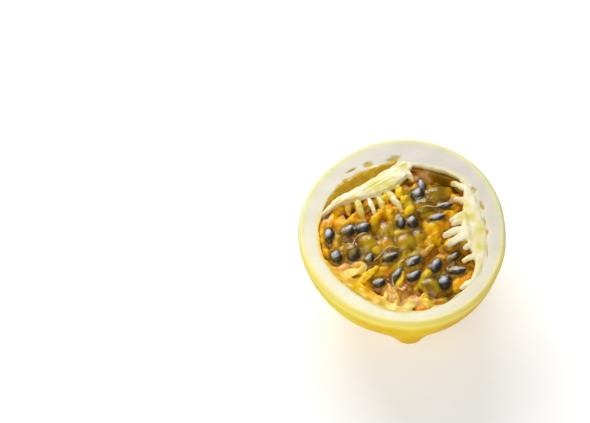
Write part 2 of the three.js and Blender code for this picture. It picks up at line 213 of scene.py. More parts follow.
def rind_rings():
    """The shell's rings with the zone of each. The edge's round is skin up to SKIN_TURN radians."""
    azimuth = np.linspace(0, 2 * math.pi, AROUND, endpoint=False)
    flat_edge = math.asin(RIM / FRUIT_DEPTH)
    found = [("skin", np.array([[0.0, 0.0, 0.0]]))]
    for share in (0.25, 0.5, 0.75):
        found.append(("skin", outer_ring(azimuth, share * math.cos(flat_edge), 0.0)))
    for under in np.linspace(flat_edge, 0.06, RING_COUNTS["outside"]):
        found.append(("skin", outer_ring(azimuth, math.cos(under), RIM - FRUIT_DEPTH * math.sin(under))))
    edge = EDGE_ROUND / HALF_WIDTH
    for turn in np.linspace(0.1, math.pi / 2, RING_COUNTS["edge"]):
        radius = 1 - edge * (1 - math.cos(turn)) * EDGE_FULLNESS
        ring = outer_ring(azimuth, radius, RIM - EDGE_ROUND * (1 - math.sin(turn)))
        found.append(("skin" if turn < SKIN_TURN else "pith", ring))
    outer, inner = found[-1][1], cavity_ring(azimuth, 1.0, RIM)
    for share in np.linspace(0, 1, RING_COUNTS["cut face"] + 1)[1:]:
        found.append(("pith", outer * (1 - share) + inner * share))
    for turn in np.linspace(0.25, math.pi / 2, RING_COUNTS["lip"]):
        height = RIM - LIP["drop"] * (1 - math.cos(turn)) - LIP["start"]
        found.append(("lining", cavity_ring(azimuth, 1 - LIP["inward"] * math.sin(turn), height)))
    wall_top = LIP["start"] + LIP["drop"]
    for under in np.linspace(0.05, math.pi / 2, RING_COUNTS["wall"] + 1)[:-1]:
        height = RIM - wall_top - (CAVITY["depth"] - wall_top) * math.sin(under)
        found.append(("lining", cavity_ring(azimuth, (1 - LIP["inward"]) * math.cos(under), height)))
    found.append(("lining", np.array([[CAVITY["x"], CAVITY["y"], RIM - CAVITY["depth"]]])))
    return zip(*found)


ring_zones, rings = rind_rings()
rind_points, rind_faces, rind_rows = closed_rings(rings)
print("the rind has", len(rings), "rings and", len(rind_points), "points")

# %% [markdown]
# The nub is a low round mound with a small pit where the flower broke off. An air pocket is a short
# ragged pit in the cut face. Both could be cut or joined with a Boolean. As formulas they only say how
# far each point moves, and the mesh stays even.

# %% Nub and air pockets
def along_across(points, heading, middle=(0, 0)):
    """How far points lie from a middle along a heading in degrees, and across it."""
    turn = math.radians(heading)
    x, y = points[:, 0] - middle[0], points[:, 1] - middle[1]
    return x * math.cos(turn) + y * math.sin(turn), y * math.cos(turn) - x * math.sin(turn)


def nub_mound(points):
    """The way that the nub lifts points, how far, and how far they lie from its middle."""
    azimuth, drop = math.radians(NUB["azimuth"]), math.radians(NUB["drop"])
    way = np.array([math.cos(azimuth) * math.cos(drop), math.sin(azimuth) * math.cos(drop), -math.sin(drop)])
    reach = 1 / np.linalg.norm(way / (HALF_WIDTH, HALF_LENGTH, FRUIT_DEPTH))
    away = np.linalg.norm(points - (way * reach + (0, 0, RIM)), axis=1)
    mound = np.exp(-((away / NUB["radius"]) ** 3))
    pit = np.exp(-((away / NUB["pit_radius"]) ** 2))
    return way, NUB["height"] * mound - NUB["pit_depth"] * pit, away


def pocket_depth(points):
    """0 on sound pith, and up to 1 in the middle of an air pocket."""
    deepest = np.zeros(len(points))
    ragged = 1 + 0.10 * lumps(points, 2.2, 31)
    for x, y, length, width, heading in PITH_POCKETS:
        forward, sideways = along_across(points, heading, (x, y))
        away = np.hypot(forward / (length / 2), sideways / (width / 2)) * ragged
        deepest = np.maximum(deepest, 1 - smoothstep(0.3, 1.3, away))
    return deepest


nub_way, nub_lift, nub_away = nub_mound(rind_points)
print("the nub stands", round(float(nub_lift.max()), 2), "mm proud")

# %% [markdown]
# The relief comes next. Each ring point moves along the surface's own direction, so one rule serves
# the skin, the cut face and the wall. The direction comes from the points before and after, round the
# ring and from ring to ring.

# %% Relief of the rind
RELIEF = {  # height, width and seed of the lumps in each zone
    "skin": [(0.12, 19, 11), (0.012, 1.8, 12)],
    "pith": [(0.10, 11, 13), (0.012, 1.9, 14)],
    "lining": [(0.28, 6, 15), (0.06, 1.8, 16)],
}
PITH_SUNK = 0.1
POCKET_DEPTH = 0.5


def ring_normals(rings):
    """The outward direction at each point of a stack of rings."""
    grid = np.stack([ring if len(ring) > 1 else np.repeat(ring, AROUND, 0) for ring in rings])
    sideways = np.roll(grid, -1, 1) - np.roll(grid, 1, 1)
    normal = np.cross(sideways, np.gradient(grid, axis=0))
    normal /= np.maximum(np.linalg.norm(normal, axis=2), 1e-9)[:, :, None]
    ends = [row if len(ring) > 1 else row.mean(0, keepdims=True) for row, ring in zip(normal, rings)]
    return np.concatenate(ends)


def zone_lumps(zone):
    return sum(height * lumps(rind_points, width, seed) for height, width, seed in RELIEF[zone])


zone_of_point = np.concatenate([np.full(len(ring), ZONES[zone]) for ring, zone in zip(rings, ring_zones)])
on_skin, on_pith, on_lining = (zone_of_point == number for number in ZONES.values())
pocket = pocket_depth(rind_points) * on_pith
hollow_share = cavity_share(rind_points[:, 0], rind_points[:, 1])
relief = on_skin * smoothstep(0.3, 3.0, rind_points[:, 2]) * zone_lumps("skin")
relief += on_pith * (zone_lumps("pith") - PITH_SUNK) + on_lining * zone_lumps("lining")
relief -= POCKET_DEPTH * pocket * smoothstep(1.0, 1.05, hollow_share)
shaped = rind_points + ring_normals(rings) * relief[:, None]
shaped += nub_way * (nub_lift * on_skin)[:, None]
print("deepest relief", round(float(-relief.min()), 2), "mm")

# %% [markdown]
# ## Finishes
# Mottling, pores and fine grain turn up in almost every tissue of the fruit, so each is a node group
# with named inputs. A material then sets its own sizes and colours. The groups put out only colours,
# masks and normals, and the Principled BSDF stays in the material, where its plain numbers are set.

# %% Node helpers
FLOAT, COLOUR, VECTOR = "NodeSocketFloat", "NodeSocketColor", "NodeSocketVector"


def node(tree, kind, numbers=None, **settings):
    """A new node with its settings, and plain numbers on some of its inputs."""
    made = tree.nodes.new(kind)
    for name, value in settings.items():
        setattr(made, name, value)
    for socket, value in (numbers or {}).items():
        made.inputs[socket].default_value = value
    return made


def wire(tree, *links):
    """Joins nodes. Each link is a node, its output, the next node and its input."""
    for source, output, target, socket in links:
        tree.links.new(source.outputs[output], target.inputs[socket])


def new_group(name, inputs, outputs):
    """An empty shader group with its sockets: each is (name, type, default)."""
    group = bpy.data.node_groups.new(name, "ShaderNodeTree")
    for label, kind, default in inputs:
        socket = group.interface.new_socket(name=label, in_out="INPUT", socket_type=kind)
        socket.default_value = default
    for label, kind in outputs:
        group.interface.new_socket(name=label, in_out="OUTPUT", socket_type=kind)
    return group, node(group, "NodeGroupInput"), node(group, "NodeGroupOutput")


def place_group(tree, group, **values):
    """A node group set into a tree with its own values. An underscore stands for a space."""
    numbers = {label.replace("_", " "): value for label, value in values.items()}
    return node(tree, "ShaderNodeGroup", numbers, node_tree=group)


print("node helpers ready")

# %% [markdown]
# Mottling is the base of every finish, since no tissue has one flat colour. It blends a light and a
# dark tone in soft patches. An image could be painted for it, but noise in object space has no seams
# and asks for no unwrapping. Sharpness pulls the two ends of the blend together.

# %% Group: mottling
def make_mottling():
    """Blends two colours in soft patches, with finer patches inside them."""
    group, given, out = new_group(
        "tissue_mottling",
        [("Light", COLOUR, (1, 1, 1, 1)), ("Dark", COLOUR, (0, 0, 0, 1)), ("Patches", FLOAT, 100.0),
         ("Fineness", FLOAT, 3.0), ("Sharpness", FLOAT, 0.3)],
        [("Color", COLOUR), ("Mask", FLOAT)])
    place = node(group, "ShaderNodeTexCoord")
    noise = node(group, "ShaderNodeTexNoise", {"Roughness": 0.6})
    low = node(group, "ShaderNodeMath", {1: 0.2, 2: 0.3}, operation="MULTIPLY_ADD")
    high = node(group, "ShaderNodeMath", {1: -0.2, 2: 0.7}, operation="MULTIPLY_ADD")
    ramp = node(group, "ShaderNodeMapRange", interpolation_type="SMOOTHSTEP")
    mix = node(group, "ShaderNodeMix", data_type="RGBA")
    wire(group,
         (place, "Object", noise, "Vector"), (given, "Patches", noise, "Scale"),
         (given, "Fineness", noise, "Detail"), (given, "Sharpness", low, 0), (given, "Sharpness", high, 0),
         (noise, "Fac", ramp, "Value"), (low, 0, ramp, "From Min"), (high, 0, ramp, "From Max"),
         (ramp, "Result", mix, "Factor"), (given, "Dark", mix, "A"), (given, "Light", mix, "B"),
         (mix, "Result", out, "Color"), (ramp, "Result", out, "Mask"))
    return group


mottling = make_mottling()
print("group", mottling.name, "ready")

# %% [markdown]
# Where a colour sits, such as a stain or a green side, depends on the fruit's form, so Python works it
# out as a number for each point and stores it on the mesh. This group lays a tint over a colour by
# such a mask. The colour itself could be stored too, but then it couldn't be tuned in the material.

# %% Group: a tint where a mask says so
def make_tint():
    """Lays a colour over another by a mask, whose strength can be turned down."""
    group, given, out = new_group(
        "masked_tint",
        [("Base", COLOUR, (1, 1, 1, 1)), ("Tint", COLOUR, (1, 1, 1, 1)), ("Mask", FLOAT, 0.0),
         ("Strength", FLOAT, 1.0)],
        [("Color", COLOUR)])
    scaled = node(group, "ShaderNodeMath", operation="MULTIPLY", use_clamp=True)
    mix = node(group, "ShaderNodeMix", data_type="RGBA")
    wire(group,
         (given, "Mask", scaled, 0), (given, "Strength", scaled, 1), (scaled, 0, mix, "Factor"),
         (given, "Base", mix, "A"), (given, "Tint", mix, "B"), (mix, "Result", out, "Color"))
    return group


tint = make_tint()
print("group", tint.name, "ready")

# %% [markdown]
# Close up, skin and flesh are finely grained. As real relief that would take millions of faces, so the
# grain is a Bump node, which only bends the way that light sees the surface. Larger relief is in the
# mesh itself, where it also shows in the outline.

# %% Group: grain
def make_grain():
    """A normal with fine grain. Size counts the grains in a metre, and Depth is in metres."""
    group, given, out = new_group(
        "tissue_grain", [("Size", FLOAT, 1000.0), ("Depth", FLOAT, 0.0001), ("Fineness", FLOAT, 4.0)],
        [("Normal", VECTOR)])
    place = node(group, "ShaderNodeTexCoord")
    noise = node(group, "ShaderNodeTexNoise", {"Roughness": 0.62})
    bump = node(group, "ShaderNodeBump")
    wire(group,
         (place, "Object", noise, "Vector"), (given, "Size", noise, "Scale"),
         (given, "Fineness", noise, "Detail"), (noise, "Fac", bump, "Height"),
         (given, "Depth", bump, "Distance"), (bump, "Normal", out, "Normal"))
    return group


grain = make_grain()
print("group", grain.name, "ready")

# %% [markdown]
# The peel has small pale pores. A Voronoi texture divides space into cells with one dot in each, and
# the cell's random colour decides whether its dot is kept, so that they don't stand in rows.

# %% Group: pores
def make_pores():
    """A mask of small round dots scattered over the skin."""
    group, given, out = new_group(
        "skin_pores", [("Spacing", FLOAT, 600.0), ("Dot", FLOAT, 0.2), ("Share", FLOAT, 0.5)],
        [("Mask", FLOAT)])
    place = node(group, "ShaderNodeTexCoord")
    cells = node(group, "ShaderNodeTexVoronoi", feature="F1")
    split = node(group, "ShaderNodeSeparateColor")
    dot = node(group, "ShaderNodeMapRange", {"To Min": 1.0, "To Max": 0.0}, interpolation_type="SMOOTHSTEP")
    kept = node(group, "ShaderNodeMath", operation="LESS_THAN")
    both = node(group, "ShaderNodeMath", operation="MULTIPLY")
    wire(group,
         (place, "Object", cells, "Vector"), (given, "Spacing", cells, "Scale"),
         (cells, "Distance", dot, "Value"), (given, "Dot", dot, "From Max"),
         (cells, "Color", split, "Color"), (split, "Red", kept, 0), (given, "Share", kept, 1),
         (dot, "Result", both, 0), (kept, 0, both, 1), (both, 0, out, "Mask"))
    return group


pores = make_pores()
print("group", pores.name, "ready")

# %% [markdown]
# Every tissue is then finished alike: mottled colour, tints by mask, and grain on a Principled BSDF.
# One function does it from a short table, so that a material reads like a maker's colour card.

# %% Finish of a tissue
def srgb(red, green, blue):
    """A colour as it is seen, 0 to 255, turned into the renderer's own scale."""
    seen = np.array([red, green, blue]) / 255
    straight = np.where(seen <= 0.04045, seen / 12.92, ((seen + 0.055) / 1.055) ** 2.4)
    return (*straight.tolist(), 1.0)


def new_material(name, **plain):
    """A material with a Principled BSDF whose plain numbers are set on its own sockets."""
    material = bpy.data.materials.new(name)
    material.use_nodes = True
    shader = material.node_tree.nodes["Principled BSDF"]
    for label, value in plain.items():
        shader.inputs[label.replace("_", " ")].default_value = value
    return material, material.node_tree, shader


def stored(tree, name):
    """Reads a number that was stored on the points."""
    return node(tree, "ShaderNodeAttribute", attribute_name=name).outputs["Fac"]


def make_tissue(name, light, dark, mottle, tints, relief, **plain):
    """A finish from two mottled colours, tints of (colour, mask, strength), and a grain.

    A mask is the name of a stored one, or a function that makes one in the material's tree.
    """
    material, tree, shader = new_material(name, **plain)
    colour = place_group(tree, mottling, Light=srgb(*light), Dark=srgb(*dark), **mottle).outputs["Color"]
    for tone, mask, strength in tints:
        tinted = place_group(tree, tint, Tint=srgb(*tone), Strength=strength)
        tree.links.new(colour, tinted.inputs["Base"])
        tree.links.new(mask(tree) if callable(mask) else stored(tree, mask), tinted.inputs["Mask"])
        colour = tinted.outputs["Color"]
    tree.links.new(colour, shader.inputs["Base Color"])
    wire(tree, (place_group(tree, grain, **relief), "Normal", shader, "Normal"))
    return material


print("the fruit's yellow in the renderer's scale:", [round(value, 3) for value in srgb(240, 204, 16)])

# %% [markdown]
# The skin is waxy and a warm lemon yellow, with pale pores, greener towards the stem and with an
# orange blush on one side. Light enters it a little, which is what subsurface scattering is for: its
# radius is widest for red, so the glow is warm.

# %% Skin
def pore_dots(tree):
    return place_group(tree, pores, Spacing=620.0, Dot=0.24, Share=0.4).outputs["Mask"]


skin = make_tissue(
    "waxy_yellow_skin", light=(240, 204, 16), dark=(226, 180, 4),
    mottle={"Patches": 60.0, "Fineness": 5.0, "Sharpness": 0.35},
    tints=[
        ((222, 216, 84), "green_tint", 1.0), ((238, 172, 70), "blush", 1.0), ((208, 148, 0), "nub", 1.0),
        ((246, 224, 96), pore_dots, 0.5), ((250, 230, 112), "cut_edge", 1.0),
        ((204, 206, 140), "near_skin", 0.9),
    ],
    relief={"Size": 800.0, "Depth": 0.00008, "Fineness": 3.0},
    Roughness=0.5, Subsurface_Weight=0.1, Subsurface_Scale=0.002, Subsurface_Radius=(1.0, 0.6, 0.15),
    Specular_IOR_Level=0.08, IOR=1.42)
print("finish", skin.name)

# %% [markdown]
# The pith is cream white and spongy, with faint veins. It yellows towards the skin, where the knife
# went through the green layer under the peel, and towards the hollow, where juice has soaked in. It
# scatters more light than the skin, and further, which keeps its shadows soft.

# %% Pith
def pith_veins(tree):
    return place_group(tree, mottling, Patches=420.0, Fineness=3.0, Sharpness=0.75).outputs["Mask"]


pith = make_tissue(
    "spongy_cream_pith", light=(252, 246, 220), dark=(248, 240, 210),
    mottle={"Patches": 120.0, "Fineness": 4.0, "Sharpness": 0.3},
    tints=[
        # painted shade: the pith is greyed towards the back right and the far left, so its front looks
        # brightest
        ((243, 240, 200), pith_veins, 0.25), ((218, 211, 198), "painted_side_shade", 1.0),
        ((226, 226, 170), "near_skin", 0.9), ((255, 234, 124), "cut_edge", 1.0),
        ((244, 232, 184), "near_hollow", 0.8), ((248, 212, 60), "golden_edge", 0.85),
        ((204, 174, 56), "pocket", 1.0),
    ],
    relief={"Size": 2600.0, "Depth": 0.00004, "Fineness": 4.0},
    Roughness=0.55, Subsurface_Weight=0.4, Subsurface_Scale=0.003, Subsurface_Radius=(1.0, 0.85, 0.55),
    Specular_IOR_Level=0.35, IOR=1.38)
print("finish", pith.name)

# %% [markdown]
# The hollow's wall is a wet golden skin, cream at its top edge and darker olive on its upper right, below the
# edge.
# Its shine comes from a thin coat over a duller base, as water lies on it.

# %% Lining
lining = make_tissue(
    "wet_golden_lining", light=(214, 178, 48), dark=(186, 140, 16),
    mottle={"Patches": 210.0, "Fineness": 4.0, "Sharpness": 0.5},
    tints=[
        # darker olive on the upper right of the wall
        ((158, 142, 8), "olive_wall", 0.6), ((244, 236, 186), "near_hollow", 1.0),
        ((248, 196, 20), "golden_edge", 0.9),
    ],
    relief={"Size": 700.0, "Depth": 0.0004, "Fineness": 3.0},
    Roughness=0.4, Subsurface_Weight=0.2, Subsurface_Scale=0.002, Subsurface_Radius=(1.0, 0.6, 0.15),
    Specular_IOR_Level=0.15, Coat_Weight=0.2, Coat_Roughness=0.15, IOR=1.38)
print("finish", lining.name)

# %% [markdown]
# The masks that these finishes read follow where a point is: how far round the rim, how far in from
# the skin, and how far below the cut. They could be painted by hand on the mesh. Formulas keep the
# stripes even round the whole rim, and lumps make their edges wander.

# %% Masks on the rim
rim_azimuth = np.degrees(np.arctan2(rind_points[:, 1], rind_points[:, 0]))
depth_below_rim = RIM - rind_points[:, 2]
skin_azimuth = np.arctan2(rind_points[:, 1] / HALF_LENGTH, rind_points[:, 0] / HALF_WIDTH)
skin_here = outer_ring(skin_azimuth, 1.0, 0.0)
edge_share = np.hypot(rind_points[:, 0], rind_points[:, 1]) / np.hypot(skin_here[:, 0], skin_here[:, 1])
inward = np.where(on_pith, HALF_WIDTH * (1 - edge_share), 0)


def round_from(degrees):
    """How far round the rim each point is from an azimuth, in degrees, at most 180."""
    return (rim_azimuth - degrees + 180) % 360 - 180


green_side = smoothstep(-18, 4, rind_points[:, 1])
band_in = inward + 0.5 * lumps(rind_points, 5, 21)
band_down = depth_below_rim + 0.25 * lumps(rind_points, 7, 22)
rim_band = np.where(on_pith, 1 - smoothstep(0.6, 4.0, band_in), 1 - smoothstep(1.2, 4.5, band_down))
edge_band = np.where(on_pith, 1 - smoothstep(0.0, 3.0, inward), 1 - smoothstep(1.6, 5.6, band_down))
far_left = np.exp(-((round_from(176) / 40) ** 2))
rind_masks = {
    "near_skin": ~on_lining * green_side * rim_band,
    "cut_edge": edge_band * (1 - 0.9 * green_side),
    # painted shade on the pith, strongest at the back right, some on the far left, none at the front left
    "painted_side_shade": on_pith * (0.5 + 0.5 * np.cos(np.radians(round_from(50))) + 0.25 * far_left),
    "pocket": pocket,
}
print("masks on the rim:", *rind_masks)

# %% [markdown]
# Round the hollow a cream margin runs along the wall, widest on the right, and a golden one along the
# lower left. The skin has its own three masks: the nub's deeper yellow, the blush, and the green that
# it keeps towards the stem.

# %% Masks round the hollow and on the skin
right_side = np.clip(np.cos(np.radians(rim_azimuth)), 0, 1) ** 2
hollow_edge = smoothstep(1.035 + 0.09 * right_side, 1.0, hollow_share)
wall_top = 1 - smoothstep(0.4, 1.6, depth_below_rim)
golden_side = np.exp(-((round_from(-142) / 53) ** 4))
golden_reach = smoothstep(1.055, 1.0, hollow_share + 0.012 * lumps(rind_points, 5, 23))
blotchy = 0.75 + 0.25 * lumps(rind_points, 6, 24)
olive_wall_side = np.exp(-((round_from(45) / 34) ** 4))
blush_away = np.hypot(round_from(-42) / 26, (depth_below_rim - 8) / 12)
green_skin = np.maximum(smoothstep(-5, 30, rind_points[:, 1]), smoothstep(-5, -30, rind_points[:, 0]))
rind_masks |= {
    "near_hollow": np.where(on_pith, hollow_edge, on_lining * wall_top),
    "golden_edge": golden_side * np.where(on_pith, golden_reach, on_lining),
    # darker olive on the upper right of the wall, from a little under its top edge down, in blotches
    "olive_wall": on_lining * olive_wall_side * smoothstep(0.3, 1.2, depth_below_rim) * blotchy,
    "nub": on_skin * np.exp(-((nub_away / 5.0) ** 2)) * 0.8,
    "blush": on_skin * np.exp(-(blush_away**2)) * 0.75,
    "green_tint": on_skin * green_skin * 0.45,
}
print("masks on the rind:", *rind_masks)

# %% [markdown]
# A piece is a mesh object. Its points are turned into metres, its faces say which finish they take,
# and masks are kept on it as point attributes. Last it is given to the fruit's one body, and the solid
# that it stands in for is hidden.

# %% From points to a piece
def new_piece(name, points, faces, materials, face_slots=None):
    """A smooth-shaded mesh object from points in mm."""
    mesh = bpy.data.meshes.new(name)
    mesh.from_pydata((np.asarray(points) * MM).tolist(), [], faces)
    for material in materials:
        mesh.materials.append(material)
    if face_slots is not None:
        mesh.polygons.foreach_set("material_index", np.asarray(face_slots, np.int32))
    mesh.shade_smooth()
    piece = bpy.data.objects.new(name, mesh)
    bpy.context.scene.collection.objects.link(piece)
    return piece


def store(piece, name, values):
    """Keeps one number for each point, which the material reads by that name."""
    attribute = piece.data.attributes.new(name, "FLOAT", "POINT")
    attribute.data.foreach_set("value", np.asarray(values, np.float32))


def finish_piece(piece, slot, *nodes):
    """Rides the piece on the fruit's one body and hides the solids that it stands in for."""
    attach(piece, "root")
    if nodes:
        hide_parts(*nodes)
    triangles = sum(len(face.vertices) - 2 for face in piece.data.polygons)
    print(piece.name, "has", triangles, "triangles")


rind = new_piece("rind_shell", shaped, rind_faces, [skin, pith, lining],
                 [ZONES[ring_zones[row + 1]] for row in rind_rows])
for mask, values in rind_masks.items():
    store(rind, mask, values)
finish_piece(rind, "rind", "rind")

# %% [markdown]
# ## Placentas
# Three bands of soft cream tissue run along the wall, and each throws out short blunt stalks that
# hold the seeds. Every band and stalk starts as a pod, which is a sausage swept along a curve. They
# could be sculpted from one lump, but pods keep each stalk in its place. A curve object with a bevel
# would make a sausage too, though only a round one.

# %% Curves and pods
def curve_points(path, shares):
    """Points and directions of a smooth curve through a path, at shares of its way."""
    path = np.asarray(path, float)
    ends = np.vstack([2 * path[0] - path[1], path, 2 * path[-1] - path[-2]])
    place = np.clip(shares, 0, 1) * (len(path) - 1)
    first = np.minimum(place.astype(int), len(path) - 2)
    t = (place - first)[:, None]
    a, b, c, d = (ends[first + step] for step in range(4))
    bend, twist = 2 * a - 5 * b + 4 * c - d, 3 * b - a - 3 * c + d
    points = 0.5 * (2 * b + (c - a) * t + bend * t**2 + twist * t**3)
    ways = 0.5 * ((c - a) + 2 * bend * t + 3 * twist * t**2)
    return points, ways / np.linalg.norm(ways, axis=1)[:, None]


def spread(sizes, turn, blunt):
    """Half sizes along a pod, which close at both ends. A lower blunt makes blunter ends."""
    shares = (1 - np.cos(turn)) / 2
    return np.interp(shares, np.linspace(0, 1, len(sizes)), sizes) * np.sin(turn) ** blunt


def pod(path, half_widths, half_heights, around=20, steps=30, blunt=0.35, tilt=0):
    """A sausage along a path in mm: points and faces. The tilt turns its section, in degrees."""
    turn = np.linspace(0, math.pi, steps + 1)
    centres, ways = curve_points(path, (1 - np.cos(turn)) / 2)
    level_sides = np.cross(ways, (0.0, 0.0, 1.0))
    level_sides /= np.linalg.norm(level_sides, axis=1)[:, None]
    level_overs = np.cross(level_sides, ways)
    tilt = math.radians(tilt)
    sides = level_sides * math.cos(tilt) + level_overs * math.sin(tilt)
    overs = level_overs * math.cos(tilt) - level_sides * math.sin(tilt)
    wide, tall = spread(half_widths, turn, blunt), spread(half_heights, turn, blunt)
    angle = np.linspace(0, 2 * math.pi, around, endpoint=False)[:, None]
    rings = [centres[:1]]
    for i in range(1, steps):
        rings.append(centres[i] + np.cos(angle) * wide[i] * sides[i] + np.sin(angle) * tall[i] * overs[i])
    points, faces, _ = closed_rings(rings + [centres[-1:]])
    return points, [face[::-1] for face in faces]


def over_rim(path):
    """A path whose z is over the cut face, with z from the floor."""
    return [(x, y, RIM + z) for x, y, z in path]


print("a straight pod has", len(pod([(0, 0, 0), (9, 0, 0)], [1], [1])[0]), "points")

# %% [markdown]
# A voxel remesh then melts the pods of a band into one skin with soft joins, as grown tissue has. A
# Boolean union would keep a hard crease at each join. Last, the sides are let wander a little.

# %% Melting bodies into one piece
VOXEL = 0.24


def combined(bodies):
    """Several bodies, each points and faces, as one list of points and one of faces."""
    points, faces, start = [], [], 0
    for body_points, body_faces in bodies:
        points.append(body_points)
        faces += [tuple(corner + start for corner in face) for face in body_faces]
        start += len(body_points)
    return np.concatenate(points), faces


def read_points(piece):
    points = np.zeros(len(piece.data.vertices) * 3, np.float32)
    piece.data.vertices.foreach_get("co", points)
    return points.reshape(-1, 3).astype(float) / MM


def write_points(piece, points):
    piece.data.vertices.foreach_set("co", (points * MM).astype(np.float32).ravel())
    piece.data.update()


def melt(piece, voxel, rounds):
    """Joins overlapping bodies into one skin by a voxel remesh, and smooths it."""
    remesh = piece.modifiers.new("melt", "REMESH")
    remesh.mode = "VOXEL"
    remesh.voxel_size = voxel * MM
    remesh.use_smooth_shade = True
    smooth = piece.modifiers.new("soften", "SMOOTH")
    smooth.factor = 0.5
    smooth.iterations = rounds
    graph = bpy.context.evaluated_depsgraph_get()
    rough, melted = piece.data, bpy.data.meshes.new_from_object(piece.evaluated_get(graph))
    piece.modifiers.clear()
    piece.data = melted
    bpy.data.meshes.remove(rough)


def melted_piece(name, bodies, material, seed, voxel=VOXEL, sway=0.16, smoothing=6):
    """Bodies melted into one piece, and its points after their sides have wandered."""
    piece = new_piece(name, *combined(bodies), [material])
    melt(piece, voxel, smoothing)
    points = read_points(piece)
    return piece, points + sway * wander(points, 2.8, (seed + 2, seed + 3, seed + 5))


print("bodies melt together on a grid of", VOXEL, "mm")

# %% [markdown]
# Each band is a path just under the cut face, with a half width at each place, and each stalk a short
# path that starts in the band and dips into the pulp. Patches are where the tissue is thin and shows
# green and yellow, and juicy places are stained gold, mostly the tips of stalks.

# %% Sizes of the placentas
# A place is x, y and z over the rim, a stalk is a path and a radius, and a spot is x, y and its reach.
STALK_TAPER = (1.25, 1.0, 0.9)
LEFT_BAND = {
    "path": [(-28.2, 5.2, -1.8), (-24.2, 9.6, -1.5), (-19.4, 12.8, -1.3), (-14.4, 15.0, -1.2),
             (-9.4, 17.4, -1.2), (-4.6, 20.4, -1.2), (-0.2, 24.2, -1.2), (4.4, 29.6, -1.4)],
    "half_widths": [0.7, 1.1, 1.8, 2.5, 3.3, 4.2, 4.0, 2.5],
    "stalks": [
        ([(-15.4, 13.0, -1.7), (-14.9, 9.4, -0.9), (-13.9, 6.4, -1.4), (-12.6, 3.4, -2.4)], 1.25),
        ([(-11.4, 13.8, -1.6), (-10.4, 9.8, -0.5), (-9.4, 7.0, -0.9), (-8.2, 3.6, -2.2)], 0.8),
        ([(-5.4, 16.6, -1.6), (-2.6, 12.6, -0.5), (-0.9, 9.9, -0.8), (1.0, 6.6, -2.0)], 1.15),
        ([(-8.0, 15.6, -2.0), (-6.9, 11.6, -1.5), (-6.0, 8.6, -1.7), (-4.8, 5.2, -2.6)], 1.3),
        ([(1.4, 25.6, -1.6), (3.0, 23.9, -0.8), (4.9, 21.0, -1.8)], 1.05),
        ([(-1.6, 19.6, -1.6), (-0.4, 16.6, -1.2), (1.0, 14.0, -2.1)], 1.1),
        ([(-18.4, 11.6, -2.2), (-18.6, 9.4, -1.9), (-18.0, 6.6, -2.6)], 1.0),
        ([(-9.6, 25.6, -0.8), (-4.6, 26.6, -0.5), (0.4, 28.2, -0.8)], 0.42),
    ],
    "patches": [(-9, 17.5, 3.0), (-4.5, 18.0, 3.0), (-16, 12, 1.4), (-5, 14.0, 2.4), (-1, 17.5, 2.2),
                (-14.6, 8.6, 2.2), (-13.8, 5.6, 2.0), (-6.2, 10, 2.6), (1.6, 26.6, 1.2), (0.2, 10, 1.4)],
    "juicy": [(-18.2, 8.0, 3.4), (-13.2, 4.6, 2.8), (-8.2, 3.8, 2.2), (-5.4, 7.4, 3.4), (1.0, 6.8, 2.2),
              (1.0, 13.8, 2.0)],
}
RIGHT_BAND = {
    "path": [(22.8, 19.2, -1.6), (24.4, 14.6, -1.2), (24.8, 8, -1.0), (24.9, 1, -1.0), (26.2, -6.6, -1.0),
             (26.8, -14.4, -1.2), (23.8, -21.4, -1.6)],
    "half_widths": [1.6, 2.5, 3.3, 4.6, 3.4, 2.5, 2.1],
    "stalks": [
        ([(23.4, 16.8, -1.4), (20.8, 18.5, -0.6), (18, 19.9, -1.5)], 1.1),
        ([(24.6, 10.6, -1.4), (21.4, 12.0, -0.5), (18.6, 13.0, -1.5)], 1.1),
        ([(24, 6.4, -1.2), (20.6, 5.2, -0.2), (16.6, 3.4, -1.3)], 1.25),
        ([(24, 4.0, -1.2), (20.6, 3.2, -0.1), (17.2, 1.6, -1.4)], 1.1),
        ([(24.4, -0.4, -1.2), (18.8, -1.1, -0.2), (14.2, -2.7, -1.5)], 1.3),
        ([(23.4, -2.8, -1.2), (19.2, -4.3, 0.1), (15.2, -6.7, -1.2)], 1.35),
        ([(25.4, -5.8, -1.3), (23.0, -6.9, -0.4), (20.8, -7.9, -1.6)], 1.1),
        ([(27.0, -9.6, -1.4), (23.6, -11.5, -0.5), (20.2, -13.1, -1.7)], 1.15),
        ([(24.4, -20.6, -1.7), (21.6, -22.4, -0.9), (19.0, -23.9, -2.0)], 1.1),
    ],
    "patches": [(23.6, 4.8, 2.4), (27, -1, 2.0), (22.5, 9.6, 1.2), (26.6, -8, 1.8), (26.8, -16, 1.6),
                (20.4, 4.0, 1.0)],
    "juicy": [(17.6, 19.9, 1.6), (15.6, 0.8, 1.6)],
}
print("stalks:", len(LEFT_BAND["stalks"]), "on the left and", len(RIGHT_BAND["stalks"]), "on the right")

# %% [markdown]
# The flesh of the bands is waxy, wet and slightly see-through, so it takes a good share of
# subsurface scattering under a thin clear coat. Fine streaks follow the band, green-yellow patches
# show where the tissue is thin, and golden juice stains what lies deep. One function makes the cream,
# golden and mustard kinds.

# %% Flesh of the bands
def make_band_flesh(name, light, dark, patch, juice, see_through):
    return make_tissue(
        name, light, dark, mottle={"Patches": 260.0, "Fineness": 4.0, "Sharpness": 0.3},
        tints=[(dark, "streak", 0.6), (patch, "patch", 1.0), (juice, "juice", 1.0)],
        relief={"Size": 1500.0, "Depth": 0.00006, "Fineness": 3.0},
        Roughness=0.4, Subsurface_Weight=see_through, Subsurface_Scale=0.002,
        Subsurface_Radius=(1.0, 0.85, 0.4), Specular_IOR_Level=0.2, Coat_Weight=0.3, Coat_Roughness=0.12,
        IOR=1.4)


